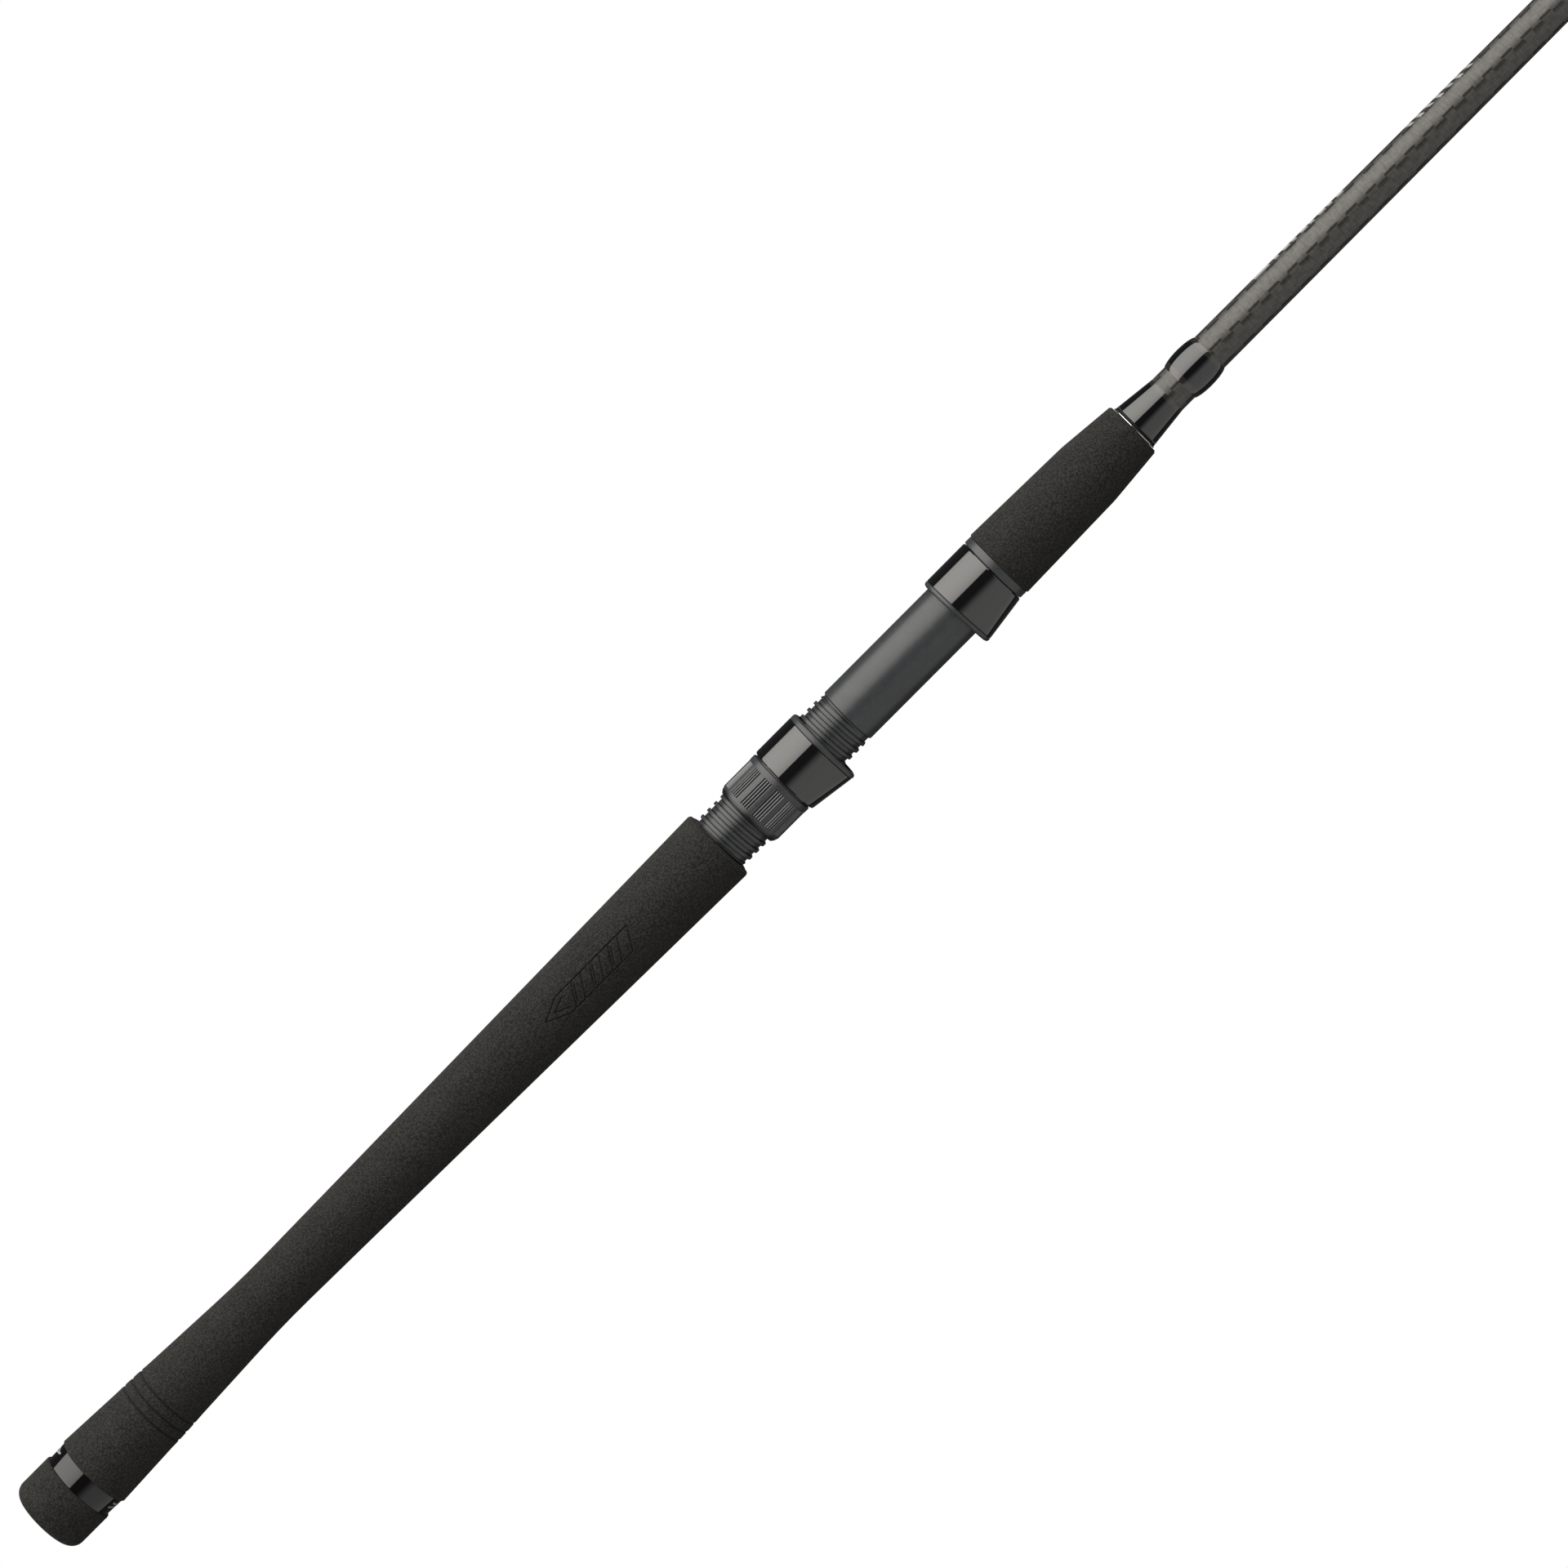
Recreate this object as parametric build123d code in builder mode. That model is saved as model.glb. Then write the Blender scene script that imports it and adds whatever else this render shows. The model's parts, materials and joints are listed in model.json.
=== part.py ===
from build123d import *
import math
import os

os.makedirs("parts", exist_ok=True)

# A two-piece spinning rod. It lies along +X with the middle of its butt face at the origin.
# The reel's foot and the line guides are on its -Y side, and +Z is up from the floor.
# All sizes are in millimetres, and every X below is a station counted from the butt face.

GLUE = 0.02  # glue line between pieces that are bonded together
RUNNING = 0.05  # radial clearance of a turning or sliding fit
LOOSE = 0.3  # radial clearance of pieces that pass each other without touching

# Stations of the handle
BLANK_START = 5.0
CAP_END = 17.0
RING_END = 24.5
SEAT_START = 316.0
GRIP_END = 328.6
THREAD_END = 389.5
FIXED_HOOD_START = 440.0
SEAT_COLLAR_START = 459.3
FOREGRIP_START = 462.3
SEAT_END = 468.0
CHECK_START = 526.5
TAPER_WRAP_START = 528.1
TAPER_WRAP_END = 542.5
TRIM_WRAP_START = 548.5
TRIM_WRAP_END = 562.5

# Stations of the upper rod
FERRULE_START = 1175.0
FERRULE_END = 1250.0
TIP_BLANK_END = 2436.0
ROD_LENGTH = 2440.0

# Blanks: radius at a station, and how fast it falls along the rod
BUTT_RADIUS_AT = (566.0, 7.18)
BUTT_TAPER = 0.00243
BUTT_WALL = 1.5
FERRULE_FIT = 0.04
FERRULE_WALL = 1.0
TIP_RADIUS = 1.1
TIP_WALL = 0.6

# Grips
CAP_RADIUS = 14.4
CAP_CORNER = 4.5
REAR_GRIP_OUTLINE = ((RING_END, 14.45), (107.0, 10.62), (GRIP_END, 13.95))
REAR_GRIP_WAIST_BEND = 400.0
GRIP_GROOVES = (52.9, 56.7, 60.7)
GROOVE_DEPTH = 0.35
GROOVE_HALF_WIDTH = 0.7
GROOVE_OVERSHOOT = 0.2  # how far the cutter starts outside the foam
BUTT_RING_RADII = (13.65, 13.9)
FOREGRIP_OUTLINE = ((FOREGRIP_START, 13.62), (505.0, 12.68), (CHECK_START, 10.75))
GRIP_EDGE = 1.6
FOREGRIP_BEND = 40.0
FOREGRIP_EDGE = 0.7

# Turned outlines in front of the foregrip, as (distance from the piece's start, radius)
CHECK_OUTLINE = ((GLUE, 9.05), (0.15, 9.3), (0.4, 9.3), (0.6, 9.1), (1.6 - GLUE, 8.88))
TAPER_WRAP_OUTLINE = ((0.0, 8.88), (12.8, 7.38), (14.4, 7.29))
TRIM_WRAP_EDGES = (7.3, 7.27)
TRIM_WRAP_CROWN = (555.4, 8.38)

# Windings at the ferrule and the tip: height over the blank, height at the ends, and the slope's length
FERRULE_WRAP_SHAPE = (0.55, 0.25, 1.5)
FERRULE_WRAP_START = 0.5  # from the ferrule's mouth
FERRULE_WRAP_LENGTH = 21.5
TIP_WRAP_LENGTH = 8.0

# Reel seat and its thread, which is right-handed
SEAT_BORE = 9.0
BARREL_RADIUS = 11.0
THREAD_ROOT = 10.3
THREAD_CREST = 11.12
THREAD_PITCH = 3.2
OVER_THREAD = THREAD_CREST + LOOSE  # bore of the pieces that ride over the thread
THREAD_START = 328.7
THREAD_TURN = 120.0  # degrees from +Z about the rod's axis to where the thread starts
RIDGE_BASE = 1.85
RIDGE_FOOT = 0.35  # how far the ridge is rooted in the barrel
RIDGE_TOP = 0.85
SPIGOT_RADIUS = 10.0
SHOULDER = 0.6  # length of the cone between the thread's root and the barrel
COLLAR_RADIUS = 13.25
COLLAR_EDGE = 0.3
BUSHING_LENGTH = 12.0
BUSHING_STATIONS = (322.0, 385.0, 448.0)

# Lock nut
NUT_START = 341.5
NUT_NOSE = ((0.0, 11.7), (0.9, 12.35))  # (distance from its start, radius), up to the full radius
NUT_NOSE_LENGTH = 2.4
NUT_EDGE = 0.3
NUT_THREAD_END = 354.6
NUT_END = 358.5
NUT_RADIUS = 12.85
NUT_COLLAR_RADIUS = 12.95
NUT_SOCKET = 11.83
NUT_GROOVE = 12.03
RIB_GROUPS = 14
GROOVES_IN_GROUP = 4
RIB_TURN = -1.8  # degrees from +Y to the middle of a group
RIB_PITCH = 4.45
RIB_GROOVE_DEPTH = 0.43  # and half of the groove's width
RIB_START = 344.3
RIB_END = 356.1

# Hoods: a round back about the rod's axis, and a nose that reaches out over the reel's foot
HOOD_BACK = 13.15
FLANK_ANGLE = 35.0  # degrees by which a flank's face turns from +Z or -Z towards -Y
CROWN_ANGLE = 15.0  # degrees that the nose's crown spans on each side of -Y
COVER_WALL = 0.9
POCKET_WALL = 1.8
MOVABLE_HOOD_START = 359.1
MOVABLE_RIM_START = 375.7
MOVABLE_HOOD_END = 377.8
MOVABLE_POCKET_START = 363.5
FIXED_RIM_END = 441.8
FIXED_COVER_END = 459.1
FIXED_POCKET_END = 455.5
MOVABLE_REACH = (13.8, 16.4)  # of the nose, at the hood's back end and at its mouth
MOVABLE_CORNER = (7.5, 4.8)  # radius of the nose's corners, at the same two ends
FIXED_REACH = (13.45, 16.0)
FIXED_CORNER = (9.0, 6.5)
RIM_LEAN = 1.2  # degrees by which the movable hood's mouth leans back on its nose side
FIXED_RIM_LEAN = 2.4
EDGE_STEPS = ((1.0, 0.0), (0.4, 0.2), (0.11, 0.55), (0.0, 1.0))  # shares of a round edge's (depth, length)
COVER_EDGE = (0.6, 0.7)  # depth and length of the round edge at a cover's closed end
RIM_EDGE = (1.2, 1.2)
RIM_SEAM = 0.2
COVER_FLOOR = 1.2
COVER_GAP = 0.12  # between a hood's cover and its insert

# The movable hood's tail, which snaps into the lock nut and turns there
TAIL_RADIUS = NUT_SOCKET - RUNNING
BEAD_RADIUS = NUT_GROOVE - RUNNING
BEAD_LENGTH = 0.95
TAIL_START = NUT_THREAD_END + 0.5

# Line guides: station, ring size (outside diameter), ring wall, height of the ring's middle
# over the blank, wire radius, length of foot, and True for a foot at both ends
GUIDES = (
    (1075.0, 30.0, 2.4, 30.0, 0.9, 15.0, True),
    (1420.0, 20.0, 2.1, 22.0, 0.75, 13.0, True),
    (1680.0, 16.0, 1.9, 17.0, 0.65, 12.0, True),
    (1890.0, 12.0, 1.7, 12.5, 0.55, 11.0, False),
    (2060.0, 10.0, 1.5, 9.5, 0.5, 10.0, False),
    (2200.0, 10.0, 1.5, 9.0, 0.5, 10.0, False),
    (2330.0, 10.0, 1.5, 8.5, 0.45, 9.0, False),
)
GUIDE_RING_WIDTH = 2.6
HOOP_WALL = 0.85
HOOP_WIDTH = 1.8
FOOT_WIDTH = 2.4
FOOT_THICKNESS = 0.9
WRAP_WALL = 0.35
TOP_TUBE_RADIUS = 1.75
TOP_TUBE_LENGTH = 13.0
TOP_RING_SIZE = 9.5
TOP_RING_WALL = 1.35
TOP_WIRE = 0.5


def butt_blank_radius(x):
    """Outside radius of the butt section's blank."""
    return BUTT_RADIUS_AT[1] - BUTT_TAPER * (x - BUTT_RADIUS_AT[0])


FERRULE_RADIUS = butt_blank_radius(FERRULE_START) + FERRULE_FIT + FERRULE_WALL
TIP_TAPER = (FERRULE_RADIUS - TIP_RADIUS) / (TIP_BLANK_END - FERRULE_START)


def tip_blank_radius(x):
    """Outside radius of the tip section's blank."""
    return FERRULE_RADIUS - TIP_TAPER * (x - FERRULE_START)


def sleeve_bore(start, end, blank=butt_blank_radius):
    """The two inner points of a sleeve glued on the blank, from its end back to its start."""
    return ((end, blank(end) + GLUE), (start, blank(start) + GLUE))


def turn(*outline, mode=Mode.ADD):
    """Turns a closed outline of (x, radius) points about the rod's axis, in the current part."""
    with BuildSketch(Plane.XY) as profile:
        with BuildLine():
            Polyline(*outline, close=True)
        make_face()
    revolve(profile.sketch, axis=Axis.X, mode=mode)


def tube(start, end, radius, mode=Mode.ADD):
    """A round bar along the rod's axis, in the current part."""
    turn((start, 0), (start, radius), (end, radius), (end, 0), mode=mode)


def finish_piece(piece, label):
    """Names a piece and writes it."""
    piece.part.label = label
    export_step(piece.part, f"parts/{label}.step")


# ---------------------------------------------------------------- blanks

with BuildPart() as butt_blank:
    turn(
        (BLANK_START, butt_blank_radius(BLANK_START) - BUTT_WALL),
        (BLANK_START, butt_blank_radius(BLANK_START)),
        (FERRULE_END, butt_blank_radius(FERRULE_END)),
        (FERRULE_END, butt_blank_radius(FERRULE_END) - BUTT_WALL),
    )
finish_piece(butt_blank, "butt_blank")

with BuildPart() as tip_blank:
    turn(
        (FERRULE_START, butt_blank_radius(FERRULE_START) + FERRULE_FIT),
        (FERRULE_START, FERRULE_RADIUS),
        (TIP_BLANK_END, TIP_RADIUS),
        (TIP_BLANK_END, 0),
        (TIP_BLANK_END - 40.0, 0),
        (TIP_BLANK_END - 40.0, TIP_WALL),
        (FERRULE_END + 1.0, butt_blank_radius(FERRULE_END) + FERRULE_FIT),
    )
finish_piece(tip_blank, "tip_blank")

with BuildPart() as ferrule_wrap:
    height, edge, slope = FERRULE_WRAP_SHAPE
    wrap_start = FERRULE_START + FERRULE_WRAP_START
    wrap_end = wrap_start + FERRULE_WRAP_LENGTH
    turn(
        *sleeve_bore(wrap_start, wrap_end, tip_blank_radius),
        (wrap_start, tip_blank_radius(wrap_start) + edge),
        (wrap_start + slope, tip_blank_radius(wrap_start) + height),
        (wrap_end - slope, tip_blank_radius(wrap_end) + height),
        (wrap_end, tip_blank_radius(wrap_end) + edge),
    )
finish_piece(ferrule_wrap, "ferrule_wrap")

# ---------------------------------------------------------------- butt cap and grips

with BuildPart() as butt_cap:
    turn(
        (0, 0),
        (0, CAP_RADIUS),
        (CAP_END, CAP_RADIUS),
        *sleeve_bore(BLANK_START, CAP_END),
        (BLANK_START, 0),
    )
    fillet(butt_cap.edges().group_by(Axis.X)[0], radius=CAP_CORNER)
finish_piece(butt_cap, "butt_cap")

with BuildPart() as butt_ring:
    turn(
        (CAP_END + GLUE, BUTT_RING_RADII[0]),
        (RING_END - GLUE, BUTT_RING_RADII[1]),
        *sleeve_bore(CAP_END + GLUE, RING_END - GLUE),
    )
finish_piece(butt_ring, "butt_ring")

with BuildPart() as rear_grip:
    with BuildSketch(Plane.XY):
        with BuildLine():
            waist = FilletPolyline(*REAR_GRIP_OUTLINE, radius=REAR_GRIP_WAIST_BEND)
            Polyline(
                waist @ 1,
                (GRIP_END, THREAD_ROOT + GLUE),
                (SEAT_START - GLUE, THREAD_ROOT + GLUE),
                *sleeve_bore(RING_END, SEAT_START - GLUE),
                waist @ 0,
            )
        make_face()
    revolve(axis=Axis.X)
    fillet(rear_grip.edges().group_by(Axis.X)[-1].sort_by(SortBy.RADIUS)[-1], radius=GRIP_EDGE)
    (rear_x, rear_radius), (waist_x, waist_radius) = REAR_GRIP_OUTLINE[:2]
    for groove in GRIP_GROOVES:
        surface = rear_radius + (waist_radius - rear_radius) * (groove - rear_x) / (waist_x - rear_x)
        turn(
            (groove - GROOVE_HALF_WIDTH, surface + GROOVE_OVERSHOOT),
            (groove, surface - GROOVE_DEPTH),
            (groove + GROOVE_HALF_WIDTH, surface + GROOVE_OVERSHOOT),
            mode=Mode.SUBTRACT,
        )
finish_piece(rear_grip, "rear_grip")

with BuildPart() as foregrip:
    with BuildSketch(Plane.XY):
        with BuildLine():
            shoulder = FilletPolyline(*FOREGRIP_OUTLINE, radius=FOREGRIP_BEND)
            Polyline(
                shoulder @ 1,
                *sleeve_bore(SEAT_END + GLUE, CHECK_START),
                (SEAT_END + GLUE, SPIGOT_RADIUS + GLUE),
                (FOREGRIP_START, SPIGOT_RADIUS + GLUE),
                shoulder @ 0,
            )
        make_face()
    revolve(axis=Axis.X)
    fillet(foregrip.edges().group_by(Axis.X)[-1].sort_by(SortBy.RADIUS)[-1], radius=FOREGRIP_EDGE)
finish_piece(foregrip, "foregrip")

# ---------------------------------------------------------------- windings in front of the grip

with BuildPart() as check_ring:
    turn(
        *[(CHECK_START + along, radius) for along, radius in CHECK_OUTLINE],
        *sleeve_bore(CHECK_START + GLUE, TAPER_WRAP_START - GLUE),
    )
finish_piece(check_ring, "check_ring")

with BuildPart() as taper_wrap:
    turn(
        *[(TAPER_WRAP_START + along, radius) for along, radius in TAPER_WRAP_OUTLINE],
        *sleeve_bore(TAPER_WRAP_START, TAPER_WRAP_END),
    )
finish_piece(taper_wrap, "taper_wrap")

with BuildPart() as trim_wrap:
    with BuildSketch(Plane.XY):
        with BuildLine():
            crown = ThreePointArc(
                (TRIM_WRAP_START, TRIM_WRAP_EDGES[0]), TRIM_WRAP_CROWN, (TRIM_WRAP_END, TRIM_WRAP_EDGES[1])
            )
            Polyline(crown @ 1, *sleeve_bore(TRIM_WRAP_START, TRIM_WRAP_END), crown @ 0)
        make_face()
    revolve(axis=Axis.X)
finish_piece(trim_wrap, "trim_wrap")

# ---------------------------------------------------------------- reel seat


with BuildPart() as seat_barrel:
    turn(
        (SEAT_START, SEAT_BORE),
        (SEAT_START, THREAD_ROOT),
        (THREAD_END, THREAD_ROOT),
        (THREAD_END + SHOULDER, BARREL_RADIUS),
        (FOREGRIP_START - GLUE, BARREL_RADIUS),
        (FOREGRIP_START - GLUE, SPIGOT_RADIUS),
        (SEAT_END, SPIGOT_RADIUS),
        (SEAT_END, SEAT_BORE),
    )
    with BuildLine() as thread_line:
        Helix(
            pitch=THREAD_PITCH,
            height=THREAD_END - THREAD_START - RIDGE_BASE,
            radius=THREAD_ROOT,
            center=(THREAD_START + RIDGE_BASE / 2, 0, 0),
            direction=(1, 0, 0),
        )
    thread = thread_line.line.rotate(Axis.X, THREAD_TURN)
    with BuildSketch(Plane(origin=thread @ 0, x_dir=(1, 0, 0), z_dir=thread % 0)) as ridge:
        with BuildLine():
            Polyline(
                (-RIDGE_BASE / 2, -RIDGE_FOOT),
                (RIDGE_BASE / 2, -RIDGE_FOOT),
                (RIDGE_TOP / 2, THREAD_CREST - THREAD_ROOT),
                (-RIDGE_TOP / 2, THREAD_CREST - THREAD_ROOT),
                close=True,
            )
        make_face()
    sweep(ridge.sketch, path=thread, is_frenet=True)
finish_piece(seat_barrel, "seat_barrel")

for number, station in enumerate(BUSHING_STATIONS, start=1):
    with BuildPart() as bushing:
        turn(
            (station, SEAT_BORE - GLUE),
            (station + BUSHING_LENGTH, SEAT_BORE - GLUE),
            *sleeve_bore(station, station + BUSHING_LENGTH),
        )
    finish_piece(bushing, f"seat_bushing_{number}")

with BuildPart() as seat_collar:
    turn(
        (SEAT_COLLAR_START + GLUE, COLLAR_RADIUS - COLLAR_EDGE),
        (SEAT_COLLAR_START + GLUE + COLLAR_EDGE, COLLAR_RADIUS),
        (FOREGRIP_START - GLUE - COLLAR_EDGE, COLLAR_RADIUS),
        (FOREGRIP_START - GLUE, COLLAR_RADIUS - COLLAR_EDGE),
        (FOREGRIP_START - GLUE, BARREL_RADIUS + GLUE),
        (SEAT_COLLAR_START + GLUE, BARREL_RADIUS + GLUE),
    )
finish_piece(seat_collar, "seat_collar")

# ---------------------------------------------------------------- hoods


def hood_section(x, back, corner, reach, lean=0.0):
    """Across the rod at x: a round back about its axis, and a nose at -Y with a wide crown.
    Rounded corners join the crown to flat flanks, which run tangent into the back."""
    flank = math.radians(FLANK_ANGLE)
    crown_end = math.radians(CROWN_ANGLE)
    wide = math.sin(flank + crown_end)
    crown = (back - corner - reach * math.sin(flank) + corner * wide) / (wide - math.sin(flank))
    corner_y = -(reach - crown) - (crown - corner) * math.cos(crown_end)
    corner_z = (crown - corner) * math.sin(crown_end)
    corner_span = 90 - FLANK_ANGLE - CROWN_ANGLE
    with BuildSketch(Plane.YZ.offset(x).rotated((0, 0, lean))) as section:
        with BuildLine():
            back_arc = CenterArc((0, 0), back, -90 - FLANK_ANGLE, 180 + 2 * FLANK_ANGLE)
            upper = CenterArc((corner_y, corner_z), corner, 90 + FLANK_ANGLE, corner_span)
            CenterArc((crown - reach, 0), crown, 180 - CROWN_ANGLE, 2 * CROWN_ANGLE)
            lower = CenterArc((corner_y, -corner_z), corner, 180 + CROWN_ANGLE, corner_span)
            Line(back_arc @ 1, upper @ 0)
            Line(lower @ 1, back_arc @ 0)
        make_face()
    return section.sketch


def movable_shape(x):
    """The movable hood's reach and corner radius at a station."""
    share = (x - MOVABLE_HOOD_START) / (MOVABLE_HOOD_END - MOVABLE_HOOD_START)
    return between(MOVABLE_REACH, share), between(MOVABLE_CORNER, share)


def fixed_shape(x):
    """The fixed hood's reach and corner radius at a station."""
    share = (FIXED_COVER_END - x) / (FIXED_COVER_END - FIXED_HOOD_START)
    return between(FIXED_REACH, share), between(FIXED_CORNER, share)


def between(ends, share):
    """The value that far from the first end to the second."""
    return ends[0] + (ends[1] - ends[0]) * share


def hood_body(shape, *sections, mode=Mode.ADD):
    """The hood's flared body through sections of (station, wall inset, lean of the section)."""
    outlines = []
    for x, inset, lean in sections:
        reach, corner = shape(x)
        outlines.append(hood_section(x, HOOD_BACK - inset, corner - inset, reach - inset, lean))
    loft(outlines, ruled=True, mode=mode)


def rounded_edge(end, inward, edge, lean=0.0):
    """Sections that round off a hood's end, from the end inwards: +1 towards the tip, -1 away from it."""
    depth, length = edge
    return [(end + inward * along * length, inset * depth, lean) for inset, along in EDGE_STEPS]


def foot_pocket(shape, bore, *stations):
    """Cuts the space that the end of the reel's foot goes into."""
    outlines = []
    for x in stations:
        reach, corner = shape(x)
        outlines.append(hood_section(x, bore, corner - POCKET_WALL, reach - POCKET_WALL))
    loft(outlines, ruled=True, mode=Mode.SUBTRACT)


with BuildPart() as movable_hood_cover:
    hood_body(
        movable_shape,
        *rounded_edge(MOVABLE_HOOD_START, 1, COVER_EDGE),
        (MOVABLE_RIM_START - RIM_SEAM, 0, 0),
        (MOVABLE_RIM_START, RIM_SEAM, 0),
    )
    hood_body(
        movable_shape,
        (MOVABLE_HOOD_START + COVER_FLOOR, COVER_WALL, 0),
        (MOVABLE_RIM_START + 1.0, COVER_WALL, 0),
        mode=Mode.SUBTRACT,
    )
    tube(MOVABLE_HOOD_START - 1.0, MOVABLE_RIM_START, TAIL_RADIUS + GLUE, mode=Mode.SUBTRACT)
finish_piece(movable_hood_cover, "movable_hood_cover")

with BuildPart() as movable_hood_insert:
    hood_body(
        movable_shape,
        (MOVABLE_HOOD_START + COVER_FLOOR + GLUE, COVER_WALL + COVER_GAP, 0),
        (MOVABLE_RIM_START + RIM_SEAM, COVER_WALL + COVER_GAP, 0),
    )
    hood_body(
        movable_shape,
        (MOVABLE_RIM_START + GLUE, RIM_SEAM, 0),
        (MOVABLE_RIM_START + GLUE + RIM_SEAM, 0, 0),
        *reversed(rounded_edge(MOVABLE_HOOD_END, -1, RIM_EDGE, -RIM_LEAN)),
    )
    turn(
        (TAIL_START, 0),
        (TAIL_START, BEAD_RADIUS - 0.1),
        (TAIL_START + 0.15, BEAD_RADIUS),
        (TAIL_START + BEAD_LENGTH - 0.2, BEAD_RADIUS),
        (TAIL_START + BEAD_LENGTH, TAIL_RADIUS),
        (MOVABLE_HOOD_START + COVER_FLOOR + 0.5, TAIL_RADIUS),
        (MOVABLE_HOOD_START + COVER_FLOOR + 0.5, 0),
    )
    tube(TAIL_START - 1.0, MOVABLE_HOOD_END + 2.0, OVER_THREAD, mode=Mode.SUBTRACT)
    foot_pocket(movable_shape, OVER_THREAD, MOVABLE_POCKET_START, MOVABLE_HOOD_END + 2.0)
finish_piece(movable_hood_insert, "movable_hood_insert")

with BuildPart() as fixed_hood_cover:
    hood_body(
        fixed_shape,
        (FIXED_RIM_END, RIM_SEAM, FIXED_RIM_LEAN),
        (FIXED_RIM_END + RIM_SEAM, 0, FIXED_RIM_LEAN),
        *reversed(rounded_edge(FIXED_COVER_END, -1, COVER_EDGE)),
    )
    hood_body(
        fixed_shape,
        (FIXED_RIM_END - 1.0, COVER_WALL, FIXED_RIM_LEAN),
        (FIXED_COVER_END - COVER_FLOOR, COVER_WALL, 0),
        mode=Mode.SUBTRACT,
    )
    tube(FIXED_RIM_END, FIXED_COVER_END + 1.0, BARREL_RADIUS + GLUE, mode=Mode.SUBTRACT)
finish_piece(fixed_hood_cover, "fixed_hood_cover")

with BuildPart() as fixed_hood_insert:
    hood_body(
        fixed_shape,
        (FIXED_RIM_END - RIM_SEAM, COVER_WALL + COVER_GAP, FIXED_RIM_LEAN),
        (FIXED_COVER_END - COVER_FLOOR - GLUE, COVER_WALL + COVER_GAP, 0),
    )
    hood_body(
        fixed_shape,
        *rounded_edge(FIXED_HOOD_START, 1, RIM_EDGE, FIXED_RIM_LEAN),
        (FIXED_RIM_END - GLUE - RIM_SEAM, 0, FIXED_RIM_LEAN),
        (FIXED_RIM_END - GLUE, RIM_SEAM, FIXED_RIM_LEAN),
    )
    tube(FIXED_HOOD_START - 2.0, FIXED_COVER_END + 1.0, BARREL_RADIUS + GLUE, mode=Mode.SUBTRACT)
    foot_pocket(fixed_shape, BARREL_RADIUS + GLUE, FIXED_HOOD_START - 2.0, FIXED_POCKET_END)
finish_piece(fixed_hood_insert, "fixed_hood_insert")

# ---------------------------------------------------------------- lock nut

with BuildPart() as lock_nut:
    turn(
        (NUT_START, OVER_THREAD),
        *[(NUT_START + along, radius) for along, radius in NUT_NOSE],
        (NUT_START + NUT_NOSE_LENGTH, NUT_RADIUS),
        (RIB_END + 0.2, NUT_RADIUS),
        (RIB_END + 0.4, NUT_COLLAR_RADIUS),
        (NUT_END - NUT_EDGE, NUT_COLLAR_RADIUS),
        (NUT_END, NUT_COLLAR_RADIUS - NUT_EDGE),
        (NUT_END, NUT_SOCKET),
        (TAIL_START + BEAD_LENGTH + 0.15, NUT_SOCKET),
        (TAIL_START + BEAD_LENGTH - 0.05, NUT_GROOVE),
        (NUT_THREAD_END, NUT_GROOVE),
        (NUT_THREAD_END, OVER_THREAD),
    )
    for group in range(RIB_GROUPS):
        for rib in range(GROOVES_IN_GROUP):
            angle = RIB_TURN + group * 360 / RIB_GROUPS + (rib - (GROOVES_IN_GROUP - 1) / 2) * RIB_PITCH
            with BuildSketch(Plane.YZ.offset(RIB_START)):
                with PolarLocations(NUT_RADIUS, 1, start_angle=angle):
                    RegularPolygon(RIB_GROOVE_DEPTH, 4)
    extrude(amount=RIB_END - RIB_START, mode=Mode.SUBTRACT)
finish_piece(lock_nut, "lock_nut")

# ---------------------------------------------------------------- line guides


def wire(start, end, radius):
    """A round wire with ball ends between two points, in the current part."""
    run = Vector(*end) - Vector(*start)
    with BuildSketch(Plane(origin=start, z_dir=run)) as section:
        Circle(radius)
    extrude(section.sketch, amount=run.length)
    with Locations(start, end):
        Sphere(radius)


def hoop(x, y, inner, outer, width, mode=Mode.ADD):
    """A ring about an axis along the rod, its middle at (x, y)."""
    with BuildSketch(Plane.YZ.offset(x - width / 2)) as section:
        with Locations((y, 0)):
            Circle(outer)
            if inner:
                Circle(inner, mode=Mode.SUBTRACT)
    extrude(section.sketch, amount=width, mode=mode)


def ceramic_ring(x, y, size, wall):
    """A line ring with a rounded inside, its middle at (x, y)."""
    middle = size / 2 - wall / 2
    with BuildSketch(Plane.XY) as section:
        with Locations((x, y + middle)):
            RectangleRounded(GUIDE_RING_WIDTH, wall, 0.45 * wall)
    revolve(section.sketch, axis=Axis((x, y, 0), (1, 0, 0)))


def foot_tongue(start, length, blank, mode=Mode.ADD):
    """A flat tongue on the blank's -Y side, from its heel at start along +X, or -X if length < 0."""
    seat = max(blank(start), blank(start + length)) + GLUE
    with BuildSketch(Plane.XY) as side:
        with BuildLine():
            Polyline(
                (start, -seat),
                (start, -seat - FOOT_THICKNESS),
                (start + length * 0.5, -seat - FOOT_THICKNESS * 0.8),
                (start + length, -seat - 0.25),
                (start + length, -seat),
                close=True,
            )
        make_face()
    extrude(side.sketch, amount=FOOT_WIDTH / 2, both=True, mode=mode)


def foot_wrap(start, length, blank):
    """Thread wound over the blank and a foot's tongue, from just past the heel to past the tip."""
    low, high = sorted((start + math.copysign(1.5, length), start + length * 1.25))
    with BuildSketch(Plane.YZ.offset(low)) as section:
        with Locations((-0.6, 0)):
            Circle(blank(low) + 0.6 + WRAP_WALL)
    extrude(section.sketch, amount=high - low)
    turn(
        (low - 1, 0), (low - 1, blank(low - 1) + GLUE), (high + 1, blank(high + 1) + GLUE), (high + 1, 0),
        mode=Mode.SUBTRACT,
    )
    foot_tongue(start, length, blank, mode=Mode.SUBTRACT)


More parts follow.
